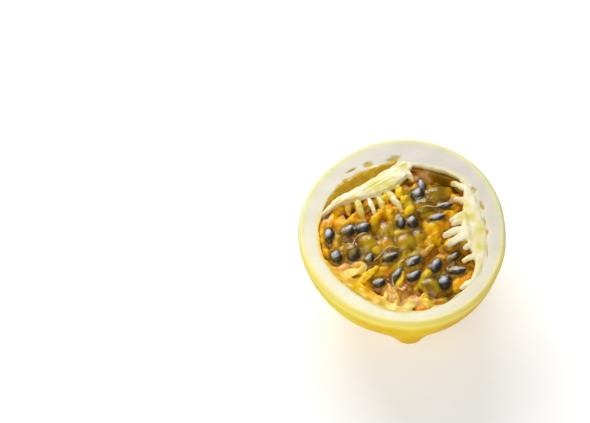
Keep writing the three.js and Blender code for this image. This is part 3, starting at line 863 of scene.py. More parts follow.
cream_flesh = make_band_flesh(
    "cream_placenta_flesh", light=(250, 240, 208), dark=(238, 224, 166), patch=(226, 214, 104),
    juice=(222, 176, 30), see_through=0.4)
golden_flesh = make_band_flesh(
    "golden_placenta_flesh", light=(246, 204, 10), dark=(232, 170, 0), patch=(254, 228, 130),
    juice=(240, 158, 2), see_through=0.2)
web_flesh = make_band_flesh(
    "mustard_web", light=(208, 168, 40), dark=(190, 146, 18), patch=(236, 216, 136),
    juice=(150, 104, 8), see_through=0.1)
print("finishes", cream_flesh.name, golden_flesh.name, web_flesh.name)

# %% [markdown]
# Streaks are lumps drawn out along a heading, as fibres are, and spots are soft round masks. With the
# height of each point they give the three masks that the flesh reads.

# %% Masks of the flesh
def streaks(points, heading, size, seed):
    """Lumps drawn out along a heading, as fibres are."""
    along, across = along_across(points, heading)
    return lumps(np.stack([along * 0.2, across, points[:, 2]], 1), size, seed)


def spots(points, places):
    """A soft mask with a round spot of a given reach at each place (x, y, reach)."""
    mask = np.zeros(len(points))
    for x, y, reach in places:
        away = np.hypot(points[:, 0] - x, points[:, 1] - y) / reach
        mask = np.maximum(mask, np.exp(-(away**2)))
    return mask


def store_tissue(piece, points, patches, heading, seed, deep_from=-1.3, tips=()):
    """Keeps the masks of streaks, patches and juice on a piece. Juice starts at deep_from."""
    fibres = streaks(points, heading, 1.1, seed + 6) + 0.6 * streaks(points, heading, 0.6, seed + 7)
    store(piece, "streak", smoothstep(0.1, 1.6, fibres))
    store(piece, "patch", spots(points, patches))
    deep = points[:, 2] - RIM + 0.35 * lumps(points, 2.2, seed + 4)
    store(piece, "juice", np.maximum(smoothstep(deep_from, deep_from - 1.5, deep), spots(points, tips)))


sample = streaks(rind_points[on_pith], 35, 1.1, 1)
print("streaks over the pith run from", round(float(sample.min()), 2), "to", round(float(sample.max()), 2))

# %% [markdown]
# The knife went through bands and stalks alike. In place of a cut with a Boolean, everything above the
# blade's height is pressed down to it, which leaves the soft shoulders of wet tissue. Stalks spring
# back a little, and the margin that lies on the pith dips.

# %% Placenta pieces
PRESSED = 0.9
SPRING_BACK = 0.45
MARGIN_DIP = 0.35
BAND_REACH = 1.05
BAND_HALF_HEIGHT = 3.0
BAND_GRAIN = 0.035
BAND_SWELL = 0.05
HOLLOW_RADIUS = 30
STALKS_WITHIN = 24  # Nearer the hollow's middle than this all is stalk, and from BAND_FROM on all is band.
BAND_FROM = 26


def held_in_hollow(points, reach):
    """Points that lie past a share of the hollow's outline are brought back to it."""
    middle = np.array([CAVITY["x"], CAVITY["y"]])
    share = cavity_share(points[:, 0], points[:, 1])
    held = points.copy()
    held[:, :2] = (points[:, :2] - middle) * np.where(share > reach, reach / share, 1)[:, None] + middle
    return held


def build_band(name, band, cut, heading, seed):
    """One placenta: band and stalks melted together, cut at a height over the rim, with its masks."""
    bodies = [pod(over_rim(band["path"]), band["half_widths"], [BAND_HALF_HEIGHT], around=32, steps=60)]
    for path, radius in band["stalks"]:
        radii = [radius * taper for taper in STALK_TAPER]
        bodies.append(pod(over_rim(path), radii, radii, around=16, blunt=0.25))
    piece, points = melted_piece(name, bodies, cream_flesh, seed)
    from_middle = cavity_share(points[:, 0], points[:, 1]) * HOLLOW_RADIUS
    blade = RIM + cut + BAND_GRAIN * streaks(points, heading, 1.6, seed)
    on_stalk = 1 - smoothstep(STALKS_WITHIN, BAND_FROM, from_middle)
    points[:, 2] -= PRESSED * np.maximum(points[:, 2] - blade - SPRING_BACK * on_stalk, 0)
    points[:, 2] += BAND_SWELL * lumps(points, 4.5, seed + 1)
    points = held_in_hollow(points, BAND_REACH)
    points[:, 2] -= MARGIN_DIP * smoothstep(1.0, BAND_REACH, cavity_share(points[:, 0], points[:, 1]))
    write_points(piece, points)
    store_tissue(piece, points, band["patches"], heading, seed, tips=band["juicy"])
    return piece


left_placenta = build_band("left_placenta", LEFT_BAND, cut=-0.05, heading=35, seed=41)
finish_piece(left_placenta, "placenta", "placenta_left")
right_placenta = build_band("right_placenta", RIGHT_BAND, cut=-0.12, heading=85, seed=51)
finish_piece(right_placenta, "placenta", "placenta_right")

# %% [markdown]
# Behind the left band the wall's inner skin has come loose and hangs as a mustard web. It is one wide
# flat pod whose edge at the wall is drawn up to meet the rim.

# %% Web behind the left band
WEB = {
    "path": [(-28.4, 7.8, -4.2), (-21.5, 16.2, -3.9), (-13.5, 21.4, -3.8), (-5.5, 25.6, -3.8),
             (0, 28.6, -3.8)],
    "half_widths": [1.8, 3.6, 4.4, 4.0, 2.4],
}
WEB_HALF_HEIGHT = 2.6
WEB_RISE = 1.6
web_body = pod(over_rim(WEB["path"]), WEB["half_widths"], [WEB_HALF_HEIGHT], around=24, steps=40)
left_web, web_points = melted_piece("left_web", [web_body], web_flesh, seed=141)
web_points[:, 2] += WEB_RISE * smoothstep(0.86, 1.0, cavity_share(web_points[:, 0], web_points[:, 1]))
write_points(left_web, web_points)
store_tissue(left_web, web_points, [(2, 28, 2.0)], heading=33, seed=141, deep_from=-3.4)
finish_piece(left_web, "placenta", "placenta_left")

# %% [markdown]
# Along the lower left wall the third band is torn into flat yellow flaps, which lean over each other.
# Each flap is a flat pod with a tilt, listed with the band that it is torn from.

# %% Sizes of the lower band
LOWER_BAND = {
    "path": [(-27.6, -12.4, -2.2), (-24.0, -18.6, -1.9), (-18.6, -24.0, -1.8), (-12, -28.8, -1.8),
             (-5, -32.0, -2.0), (3, -33.6, -2.3)],
    "half_widths": [1.6, 3.4, 4.4, 3.8, 2.6, 1.8],
    "patches": [(-17.6, -18.0, 2.2), (-19.8, -19.2, 1.6), (-13.6, -15.0, 2.0), (-7, -27.2, 1.3),
                (1, -32.4, 3.6), (-5, -31.6, 3.0), (6, -32.6, 2.6), (2.6, -28.8, 1.4), (-21, -23.0, 1.3),
                (-14.6, -27.6, 1.3), (-24.6, -18.6, 1.2), (-10.4, -30.4, 1.4)],
}
FLAPS = [  # path of (x, y, z over the rim), half width, half height, tilt in degrees
    ([(-23.4, -20.4, -1.3), (-18.8, -18.2, -0.5), (-14.0, -16.6, -1.3)], 2.1, 0.5, 14),
    ([(-15.0, -18.6, -1.4), (-13.6, -15.4, -0.6), (-13.4, -12.8, -1.4)], 1.4, 0.5, -18),
    ([(-17.0, -23.4, -1.5), (-12.8, -19.4, -0.8), (-8.6, -14.8, -1.3)], 1.6, 0.7, 14),
    ([(-25.0, -17.4, -1.7), (-19.8, -21.6, -1.3), (-13.6, -24.6, -1.5)], 2.6, 0.7, 12),
    ([(-20.4, -23.0, -1.4), (-14.4, -26.2, -1.0), (-8.8, -28.2, -1.7)], 1.9, 0.7, 16),
    ([(-17.6, -26.2, -0.9), (-11.4, -30.0, -0.7), (-6.0, -31.8, -1.1)], 1.1, 0.6, 20),
    ([(-13.6, -24.6, -2.0), (-10.8, -26.0, -1.3), (-9.2, -29.0, -1.9)], 1.0, 0.6, 0),
    ([(-8.0, -30.4, -1.9), (-6.6, -27.6, -1.0), (-6.0, -24.8, -1.9)], 0.8, 0.8, 0),
    ([(-2.6, -31.6, -2.1), (-3.6, -27.6, -1.5), (-5.2, -22.4, -2.3)], 0.8, 0.7, 0),
    ([(-1.0, -32.4, -2.0), (2.0, -29.8, -1.3), (3.4, -27.4, -2.2)], 2.0, 0.8, 0),
    ([(8.0, -31.4, -1.9), (7.2, -29.8, -1.1), (5.6, -27.8, -2.0)], 1.5, 0.8, 10),
]
print("flaps:", len(FLAPS))

# %% [markdown]
# Soft ridges run along the wall. For these, lumps are asked for in places that are laid out straight:
# the way round the hollow, then the way out. Here too what stands over the cut is pressed down to it.

# %% Lower band and its flaps
FLAP_TAPER = (0.8, 1, 0.7)
LOWER_HALF_HEIGHT = 2.6
LOWER_PRESSED = 0.85
LOWER_CUT = -0.25


def along_wall(points):
    """Points laid out straight: the way round the hollow, shortened, the way out, and the height."""
    around = np.arctan2(points[:, 1] - CAVITY["y"], points[:, 0] - CAVITY["x"])
    share = cavity_share(points[:, 0], points[:, 1])
    return np.stack([5 * around, HOLLOW_RADIUS * share, points[:, 2]], 1)


lower_path = over_rim(LOWER_BAND["path"])
lower_bodies = [pod(lower_path, LOWER_BAND["half_widths"], [LOWER_HALF_HEIGHT], around=28, steps=50)]
for path, half_width, half_height, tilt in FLAPS:
    widths = [half_width * share for share in FLAP_TAPER]
    lower_bodies.append(pod(over_rim(path), widths, [half_height], steps=24, blunt=0.4, tilt=tilt))
lower_placenta, lower_points = melted_piece(
    "lower_placenta", lower_bodies, golden_flesh, seed=61, voxel=0.26)
ridges = 0.2 * lumps(along_wall(lower_points), 1.7, 66) + 0.15 * lumps(lower_points, 4.4, 67)
lower_points[:, 2] += ridges - LOWER_PRESSED * np.maximum(lower_points[:, 2] - RIM - LOWER_CUT, 0)
lower_points = held_in_hollow(lower_points, 1.01)
write_points(lower_placenta, lower_points)
store_tissue(lower_placenta, lower_points, LOWER_BAND["patches"], heading=-38, seed=61, deep_from=-1.9)
finish_piece(lower_placenta, "placenta", "placenta_lower")

# %% [markdown]
# ## Pulp
# The pulp is built from the bottom up: a soft dark golden bed, the seeds, the flesh of the sacs, which
# is cloudy and holds the colour, and last the clear juice round seeds and full sacs. The level of the
# heap follows one formula, a little proud of the cut face in the middle and lower towards the wall,
# with round hollows where sacs fell out.

# %% Level of the pulp
PULP_CROWN = 0.5
PULP_FALL = 2.5
HOLLOWS = [  # x, y, reach, drop
    (12, 24.5, 5.5, 6.0), (18.5, 21, 4.5, 5.5), (4, 26, 2.6, 2.6), (-21.5, 17, 5.0, 14.0),
    (-14.5, 20.5, 5.0, 14.0), (-7, 24.5, 5.0, 14.0), (-19, 8, 3.2, 2.4), (20.5, 8.4, 2.4, 2.6),
    (-12.4, 9.6, 1.5, 2.2), (-7.6, 11.2, 1.5, 2.0), (13.5, -8.5, 3.4, 2.6), (19, -8, 3.0, 3.0),
    (23.4, -9, 2.6, 3.2), (23.6, -14.4, 2.4, 3.0), (-5, -18.6, 3.4, 2.8), (6.8, -6, 2.8, 2.2),
]


def pulp_level(x, y):
    x, y = np.asarray(x, float), np.asarray(y, float)
    level = RIM + PULP_CROWN - PULP_FALL * cavity_share(x, y) ** 3
    for hollow_x, hollow_y, reach, drop in HOLLOWS:
        away = np.hypot(x - hollow_x, y - hollow_y) / reach
        level = level - drop * np.exp(-(away**2))
    return level


print("level in the middle", round(float(pulp_level(0, 0)), 2), "mm")

# %% [markdown]
# Colour in the pulp comes from what lies where: clear gold over most of it, olive where the juice is
# deep, and cream or pink where wall tissue lies bare. Brown down in the crevices and dark olive-brown
# in other low places are painted shade. Each kind is a list of soft round spots, and the bed and the
# flesh read the same lists.

# %% Colours of the pulp by place
COLOUR_SPOTS = {  # x, y, reach
    # painted shade: brown in the crevices and hollows of the heap
    "crevice_shade": [
        (-19.3, 7.7, 2.4), (-16.8, 8.4, 1.4), (-12.2, 9.2, 1.6), (-7.4, 11.0, 1.6), (-26.6, -7.2, 1.2),
        (1.8, 21.6, 1.3), (19.6, 19.4, 1.6), (20.3, 8.2, 1.6), (12.6, -8.5, 2.4), (18.6, -7.3, 2.2),
        (23.2, -9.2, 2.0), (23.6, -14.4, 1.7), (-4.6, -18.8, 2.0), (10.8, -28.4, 1.6), (-9.0, 10.0, 1.2),
        (6.6, 21.8, 1.2),
    ],
    "olive": [
        (-11.8, -6, 4.8), (-5.6, -1.4, 3.8), (1, -5, 5.2), (5.2, -1.2, 3.0), (8, 9.8, 4.8),
        (13, 15.6, 5.2), (-0.4, 2.6, 2.8), (4.0, -13.6, 4.2), (10.4, -21.8, 5.2), (14, -25.6, 3.2),
        (-13, 1, 2.6), (-16, -8, 3.4), (-7.0, 13.4, 1.8), (1.6, 11.0, 2.2), (-2.4, -18.4, 3.0),
        (9.2, -14.8, 2.4), (-14.6, 8.2, 1.6), (5, 14, 3.4), (15.8, 23.4, 3.6), (-4, -11, 4.0),
        (-22.6, -11, 2.6), (4, 3, 2.6), (17, -15, 2.6),
    ],
    "cream": [
        (-26.4, 4.4, 1.5), (0, -30.6, 2.6), (-3.4, -30.6, 1.8), (7.4, -30.8, 1.3), (3.6, -28.8, 1.6),
        (10.4, 24.2, 1.1), (6.4, 24.0, 1.2),
    ],
    "pink": [
        (-5, -25, 2.0), (-3.6, -29, 2.2), (2.4, -28, 2.2), (-20.6, -15.4, 2.0), (-16.6, -14.4, 1.6),
        (8.6, -10.6, 1.4), (8.2, 25.4, 2.2), (2, 18.8, 1.2), (-9.4, 5.4, 1.0), (-20, 6.2, 1.2),
    ],
    # painted shade: darker olive-brown in low places
    "shade": [
        (13.6, 16.8, 3.4), (9, 10.4, 3.6), (15.4, 13, 3.0), (5.4, -8.6, 2.4), (2.2, -9.4, 1.8),
        (7.8, -4.2, 1.7), (13.4, -8.6, 2.2), (20.4, -7.0, 2.2), (8.4, -24.4, 2.2), (15.4, -26.4, 2.0),
        (0.6, -25.8, 1.6), (-7.4, 9.6, 1.8), (-12, 8.6, 1.2), (-18.0, 7.0, 1.8), (-3, 6.2, 1.3),
        (1.6, 21.8, 1.3), (-6.2, 2.2, 1.4), (11.2, 1.8, 1.3), (14.2, -0.8, 1.3), (8.6, 5.6, 1.4),
        (-22.4, -4.6, 1.5), (-14.4, -6.8, 1.3),
    ],
    "orange": [
        (18.8, 14.6, 2.4), (20.4, 8.4, 1.8), (22.8, -17.4, 2.4), (17.8, -21.8, 2.2), (-27, 1.2, 2.0),
        (-24, -15.2, 2.4), (-6.2, -17.6, 2.4), (2.4, 23.8, 1.4), (-22.4, 2.0, 2.2),
    ],
}


def store_tones(piece, points):
    """Keeps the colour masks of the pulp on a piece, with edges that wander."""
    wavy = points[:, :2] + 0.9 * wander(points, 4, (71, 72))
    for kind, places in COLOUR_SPOTS.items():
        store(piece, kind, spots(wavy, places))


print({kind: len(places) for kind, places in COLOUR_SPOTS.items()})

# %% [markdown]
# The bed is all that shows down between the sacs: sacs that lie deep, seen through others. It is one
# closed body of rings, like the rind, which fills the cup a little under the pulp's level and climbs
# at the wall. Modelling the deep sacs one by one would cost much and show nothing.

# %% Bed of the pulp
BED_AROUND = 224
BED_UNDER = 2.0
BED_CLIMB = 1.6
BED_CLEAR = {"wall": 0.4, "top": 0.2}
BED_EDGE = 0.985


def bed_rings():
    """The bed from the foot of the hollow up its wall, and back in over the top."""
    azimuth = np.linspace(0, 2 * math.pi, BED_AROUND, endpoint=False)
    under_side = [np.array([[CAVITY["x"], CAVITY["y"], RIM - CAVITY["depth"] + BED_CLEAR["wall"]]])]
    for under in np.linspace(math.pi / 2, 0.12, 22)[1:]:
        height = RIM - CAVITY["depth"] * math.sin(under)
        under_side.append(cavity_ring(azimuth, math.cos(under), height, BED_CLEAR["wall"]))
    shares = np.linspace(BED_EDGE, 0.01, 84)
    top = [cavity_ring(azimuth, share, 0.0, BED_CLEAR["top"]) for share in shares]
    top.append(np.array([[CAVITY["x"], CAVITY["y"], 0.0]]))
    for ring in top:
        ring[:, 2] = pulp_level(ring[:, 0], ring[:, 1]) - BED_UNDER
    return under_side + top


bed_finish = make_tissue(
    "deep_golden_bed", light=(206, 138, 8), dark=(170, 92, 0),
    mottle={"Patches": 260.0, "Fineness": 4.0, "Sharpness": 0.5},
    tints=[
        ((120, 104, 14), "olive", 0.8), ((200, 92, 0), "orange", 0.8), ((248, 216, 160), "cream", 0.9),
        # painted shade: the bed's tints for crevices and low places
        ((136, 84, 4), "crevice_shade", 0.85), ((110, 76, 4), "shade", 0.8),
    ],
    relief={"Size": 900.0, "Depth": 0.0002, "Fineness": 4.0},
    Roughness=0.4, Specular_IOR_Level=0.1, Coat_Weight=0.25, Coat_Roughness=0.12, IOR=1.36)
bed_points, bed_faces, _ = closed_rings(bed_rings())
on_top = smoothstep(RIM - 14, RIM - 8, bed_points[:, 2])
bed_share = cavity_share(bed_points[:, 0], bed_points[:, 1])
calm = on_top * smoothstep(1.0, 0.85, bed_share)
bed_points[:, 2] += calm * (0.6 * lumps(bed_points, 5, 81) + 0.25 * lumps(bed_points, 1.9, 82))
bed_points[:, 2] += on_top * BED_CLIMB * smoothstep(0.86, BED_EDGE, bed_share) ** 2
pulp_bed = new_piece("pulp_bed", bed_points, bed_faces, [bed_finish])
store_tones(pulp_bed, bed_points)
finish_piece(pulp_bed, "pulp", "pulp")

# %% [markdown]
# Seeds and sacs lie where they fell, so their places are lists. A sac is an egg with its own place,
# heading, length, width and lift over the pulp's level. Clear sacs are full of juice, fleshy ones are
# cloudy, golden and torn, and a seed has a sac of its own, a few millimetres larger than itself.

# %% Places of seeds and sacs
SEEDS = [  # x, y, heading, lean, length, width
    (-25.3, -2.2, 92, 8, 6.4, 4.5), (-18.6, -0.7, 50, 8, 6.2, 4.4), (-13.6, 0.1, 30, 20, 5.4, 4.1),
    (-22.9, -10.9, 90, 15, 5.3, 3.9), (-16.9, -10.5, 84, 0, 6.0, 4.0), (-11.6, -12.6, 70, 25, 4.8, 3.2),
    (-4.4, -11.8, 30, 5, 6.0, 3.2), (-0.3, 1.9, 88, 10, 4.6, 3.0), (3.7, 2.6, 86, 10, 5.0, 3.9),
    (6.1, 14.7, 70, 8, 6.0, 4.8), (7.9, 19.3, 102, 0, 6.0, 2.9), (15.5, 9.6, 6, 8, 5.6, 2.3),
    (12.4, 4.3, 16, 10, 5.4, 2.7), (3.4, -13.7, 42, 5, 6.0, 3.2), (11.1, -15.1, 66, 5, 6.0, 3.6),
    (17.4, -10.8, 50, 10, 5.2, 3.1), (18.3, -16.8, 6, 8, 6.4, 2.7), (3.4, -19.4, 40, 8, 5.6, 3.1),
    (-2.2, -18.2, 62, 12, 6.0, 3.2), (13.7, -21.3, 78, 0, 5.8, 4.5), (-8.4, -21.8, 40, 15, 4.6, 3.4),
]
CLEAR_SACS = [  # x, y, heading, length, width, lift
    (-11.8, -5.6, 15, 10.4, 9.6, 1.0), (0.9, -5, 60, 10.4, 9.0, 0.8), (12.9, 15.6, 10, 11.6, 9.2, 1.1),
    (8.4, 10.3, 15, 11.0, 7.8, 0.8), (9.6, -23.2, -30, 11.5, 9.2, 0.9), (3.4, -15.3, 60, 9.0, 7.6, 0.8),
    (-5.8, -0.6, 108, 10.0, 6.2, 0.6), (-0.8, 3.4, 92, 8.4, 5.6, 0.6), (0.2, -24.7, 70, 6.8, 5.8, 0.3),
    (-5.8, -6.2, 60, 9.0, 7.4, 0.6), (6.0, -2.6, 60, 8.0, 6.4, 0.4), (-17.4, -8.2, 80, 8.0, 7.0, 0.7),
]
FLESHY_SACS = [  # x, y, heading, length, width, lift
    (-19.6, 9.6, 24, 9.6, 3.6, 2.6), (-27.8, -2.6, 92, 9.0, 3.2, 1.0), (-27.4, 2.2, 84, 7.0, 3.6, 0.9),
    (-26.8, -8.4, 105, 7.0, 2.8, 0.6), (-24.4, 4.4, 80, 7.4, 3.2, 0.3), (-21.2, 3.4, 70, 6.6, 3.4, 0.1),
    (-16.8, 4.8, 62, 6.8, 3.4, 0.6), (-9.0, 4.2, 55, 7.0, 3.2, 0.7), (-18.8, 2.2, 30, 4.6, 3.2, -0.1),
    (11.4, 1.0, 38, 9.0, 4.6, 0.3), (13.0, 4.0, 30, 8.4, 3.0, 0.2), (15.8, 6.2, 24, 7.0, 3.6, 0.2),
    (10.6, -3.4, 40, 8.4, 3.6, 0.1), (18.6, 5.8, 30, 5.0, 3.0, -0.2), (8.0, -9.0, 40, 8.4, 2.6, 0.4),
    (5.6, -6.2, 42, 6.0, 2.4, 0.2), (19.4, 14.2, -40, 6.0, 4.6, -0.4), (22.4, -17.8, 70, 6.6, 4.2, 0.1),
    (17.6, -21.6, 70, 6.0, 3.6, 0.2), (20.6, -20.0, 60, 5.4, 3.0, 0.1), (13.6, -11.2, 35, 6.0, 3.0, 0.0),
    (-20.8, -15.4, 20, 6.6, 4.0, -0.3), (-24.2, -14.8, -50, 5.6, 3.8, -0.2), (-0.4, 15.8, 75, 5.6, 3.0, 0.7),
    (1.6, 12.6, 55, 4.6, 2.8, 0.3), (10.0, 24.0, 30, 5.4, 4.0, 2.2), (5.8, 22.8, 60, 4.2, 3.2, 0.8),
    (-3.2, 6.4, 65, 6.4, 3.2, 0.4), (-1.4, -21.4, 60, 6.0, 2.4, 0.3), (6.6, -27.4, 65, 6.0, 3.4, 0.2),
    (-5.6, 12.8, 72, 7.0, 3.2, 0.2), (3.0, 7.8, 60, 5.4, 3.4, 0.3), (3.4, 26.0, 20, 4.0, 3.2, 1.2),
    (-8.6, -8.6, 30, 5.4, 3.2, 0.0), (-14.8, -14.0, 20, 7.0, 3.6, 0.0), (-6.4, -15.4, 48, 6.0, 3.0, 0.1),
    (7.6, -18.4, 40, 7.0, 3.0, 0.2), (6.6, -23.2, -60, 7.0, 2.8, 0.3), (3.6, -28.8, 80, 5.0, 3.4, 0.2),
    (-16.0, -20.4, 30, 6.4, 3.8, 0.3), (6.8, -31.4, 8, 7.4, 3.6, 0.5), (8.4, 26.2, 10, 6.0, 3.6, 2.4),
    (13.6, 24.6, -18, 7.4, 4.2, 1.8), (18.4, 20.8, -38, 6.4, 4.0, 1.6), (15.4, 20.6, -20, 7.0, 3.6, 1.2),
    (-3.4, -27.0, 100, 7.0, 2.8, 0.0), (-11.8, -24.6, 30, 6.4, 3.4, -0.2), (11.4, -28.6, 20, 6.6, 3.2, 0.0),
]
SEED_SAC_MARGIN = 4.0
SEED_SAC_LIFT = 0.3
SEED_SACS = [(x, y, heading, length + SEED_SAC_MARGIN, width + SEED_SAC_MARGIN, SEED_SAC_LIFT)
             for x, y, heading, lean, length, width in SEEDS]
GEL_SACS = SEED_SACS + CLEAR_SACS
print("seeds:", len(SEEDS), "clear sacs:", len(CLEAR_SACS), "fleshy sacs:", len(FLESHY_SACS))

# %% [markdown]
# Between the sacs that are listed lie others, deeper and less clear. Particles could scatter them, but
# they wouldn't melt with the rest. A staggered grid with seeded shifts spreads them evenly and gives the
# same heap on each run.

# %% Filler sacs
FILLER_PITCH = 5.8
FILLER_ROW_STEP = 0.87
FILLER_REACH = 0.93


def filler_sacs():
    """Deeper fleshy sacs on a staggered grid, shifted by seeded draws."""
    draw = np.random.default_rng(7).uniform
    found = []
    for row in range(-7, 8):
        for column in range(-6, 7):
            shift_x, shift_y, heading = draw(-0.3, 0.3), draw(-0.3, 0.3), draw(10, 100)
            x = CAVITY["x"] + (column + 0.5 * (row % 2) + shift_x) * FILLER_PITCH
            y = CAVITY["y"] + (row * FILLER_ROW_STEP + shift_y) * FILLER_PITCH
            if float(cavity_share(x, y)) < FILLER_REACH:
                found.append((x, y, heading, draw(7, 11), draw(4.2, 6.4), draw(-1.1, -0.3)))
    return found


CLOUDY_SACS = FLESHY_SACS + filler_sacs()
SACS = GEL_SACS + CLOUDY_SACS
print("sacs with clear juice:", len(GEL_SACS), "cloudy sacs:", len(CLOUDY_SACS))

# %% [markdown]
# A sac starts as a ball that is stretched to its sizes, drawn in a little towards its front, turned to
# its heading and sunk until its top stands at its lift.

# %% Bodies of sacs
SAC_ROUNDNESS = 0.9
SAC_TAPER = 0.15


def turned_points(points, heading, lean, place):
    """Leans a body up by its front end, turns it to a heading and puts it in place."""
    up, way = math.radians(lean), math.radians(heading)
    leaned = points @ np.array([[math.cos(up), 0, math.sin(up)], [0, 1, 0], [-math.sin(up), 0, math.cos(up)]])
    turn = np.array([[math.cos(way), math.sin(way), 0], [-math.sin(way), math.cos(way), 0], [0, 0, 1]])
    return leaned @ turn + np.asarray(place)


def round_body(around, rings):
    """A ball of radius 1 with its poles on the X axis, as points and faces."""
    angle = np.linspace(0, 2 * math.pi, around, endpoint=False)
    stack = [np.array([[1.0, 0, 0]])]
    for turn in np.linspace(0, math.pi, rings + 1)[1:-1]:
        along, radius = np.full(around, math.cos(turn)), math.sin(turn)
        stack.append(np.stack([along, radius * np.cos(angle), radius * np.sin(angle)], 1))
    points, faces, _ = closed_rings(stack + [np.array([[-1.0, 0, 0]])])
    return points, [face[::-1] for face in faces]


def sac_shape(sac):
    """Centre and half sizes of a sac."""
    x, y, heading, length, width, lift = sac
    half = np.array([length, width, width * SAC_ROUNDNESS]) / 2
    return np.array([x, y, float(pulp_level(x, y)) + lift - half[2]]), half


def sac_body(sac, share=1.0, sunk=0.0):
    """A sac, or its heart at a share of its size, sunk a little."""
    centre, half = sac_shape(sac)
    points, faces = round_body(24, 16)
    points[:, 1:] *= (1 - SAC_TAPER * points[:, 0])[:, None]
    return turned_points(points * half * share, sac[2], 0, centre - (0, 0, sunk)), faces


print("the first clear sac has its middle at", sac_shape(CLEAR_SACS[0])[0].round(1))

# %% [markdown]
# A seed is a flat, blunt teardrop with a pitted coat. Its crown stands a little proud of the pulp,
# however much it leans, so its middle is worked out from its own thickness and lean. The pits are
# pressed into the mesh, because they break up the shine along the seed's outline too.

# %% Bodies of seeds
SEED_FLATNESS = 0.7
SEED_PROUD = 0.5
PROUD_SPREAD = 0.3
SEED_PITS = 0.07
SEED_TAPER = {"front": 0.26, "back": 0.05}


def seed_sizes(length, width):
    return np.array([length, width, width * SEED_FLATNESS])


def seed_body(size, seed):
    """One pitted seed: blunt at its back and drawn to a short point at the front."""
    points, faces = round_body(28, 20)
    front, back = np.clip(points[:, 0], 0, 1), np.clip(-points[:, 0], 0, 1)
    points[:, 1:] *= (1 - SEED_TAPER["front"] * front**1.5 + SEED_TAPER["back"] * back)[:, None]
    points = points * size / 2
    pits = np.clip(lumps(points + seed * 7.7, 1.0, 91, 24), 0, None)
    way = points / np.linalg.norm(points, axis=1)[:, None]
    return points - way * (SEED_PITS * pits)[:, None], faces


def seed_place(x, y, lean, size):
    """A seed's centre, so that its crown is proud of the pulp's level however it leans."""
    lean = math.radians(lean)
    reach = math.hypot(size[0] / 2 * math.sin(lean), size[2] / 2 * math.cos(lean))
    proud = SEED_PROUD + PROUD_SPREAD * math.sin(3.1 * x + 1.7 * y)
    return np.array([x, y, float(pulp_level(x, y)) + proud - reach])


seed_bodies = []
for number, (x, y, heading, lean, length, width) in enumerate(SEEDS):
    size = seed_sizes(length, width)
    points, faces = seed_body(size, number)
    seed_bodies.append((turned_points(points, heading, lean, seed_place(x, y, lean, size)), faces))
lengths = [length for *_, length, width in SEEDS]
print("seeds are", min(lengths), "to", max(lengths), "mm long")

# %% [markdown]
# The coat is nearly black, with a soft shine. A pale lavender sheen is painted where it faces up and to
# the back left, towards the back softbox: a painted highlight. Low down it is stained by the juice it
# sits in. Both masks follow the way that each point faces.

# %% Seed finish and piece
SHEEN_LIGHT_SIDE = (-0.38, 0.42, 0.82)


def point_normals(piece):
    """The outward direction at each point."""
    normals = np.zeros(len(piece.data.vertices) * 3, np.float32)
    piece.data.vertices.foreach_get("normal", normals)
    return normals.reshape(-1, 3)


seed_coat = make_tissue(
    "dark_seed_coat", light=(38, 32, 22), dark=(16, 12, 8),
    mottle={"Patches": 500.0, "Fineness": 4.0, "Sharpness": 0.5},
    # painted highlight: a pale lavender sheen where the seed faces the back softbox
    tints=[((186, 179, 184), "painted_sheen", 0.85), ((104, 84, 14), "in_juice", 0.7)],
    relief={"Size": 1600.0, "Depth": 0.00007, "Fineness": 2.0},
    Roughness=0.36, Specular_Tint=(0.93, 0.92, 1.0, 1.0), IOR=1.65)
seeds = new_piece("seeds", *combined(seed_bodies), [seed_coat])
seed_points, seed_normals = read_points(seeds), point_normals(seeds)
facing = seed_normals @ np.array(SHEEN_LIGHT_SIDE) + 0.07 * lumps(seed_points, 2.4, 95)
# painted highlight on the side that faces up and to the back left
store(seeds, "painted_sheen", smoothstep(0.58, 1.0, facing))
store(seeds, "in_juice", smoothstep(0.42, -0.1, seed_normals[:, 2] + 0.08 * lumps(seed_points, 1.8, 96)))
finish_piece(seeds, "pulp", "pulp")

# %% [markdown]
# The flesh of all sacs is melted into one piece, rippled along each sac. Each point then asks which
# sac it belongs to, how deep it lies, and how near a seed is, since a dark seed shows through the
# flesh round it. All of that is a distance to an egg.

# %% What lies near each point
SEED_SHOW = 0.7


def egg_distance(points, centre, half, heading):
    """1 on the skin of an egg and 0 in its middle."""
    along, across = along_across(points, heading, centre)
    upward = points[:, 2] - centre[2]
    return np.sqrt((along / half[0]) ** 2 + (across / half[1]) ** 2 + (upward / half[2]) ** 2)


def nearest_sacs(points):
    """The number of the sac that each point lies in, and how much nearer it is than the next one."""
    distances = np.stack([egg_distance(points, *sac_shape(sac), sac[2]) for sac in SACS])
    order = np.sort(distances, axis=0)
    return distances.argmin(0), order[1] - order[0]


def seed_shade(points):
    """1 at a seed, falling to 0 a little way off."""
    nearest = np.full(len(points), 9.0)
    for x, y, heading, lean, length, width in SEEDS:
        size = seed_sizes(length, width)
        gap = (egg_distance(points, seed_place(x, y, lean, size), size / 2, heading) - 1) * width / 2
        nearest = np.minimum(nearest, gap)
    return np.exp(-np.clip(nearest, 0, None) / SEED_SHOW)


print("distances are ready for", len(SACS), "sacs and", len(SEEDS), "seeds")
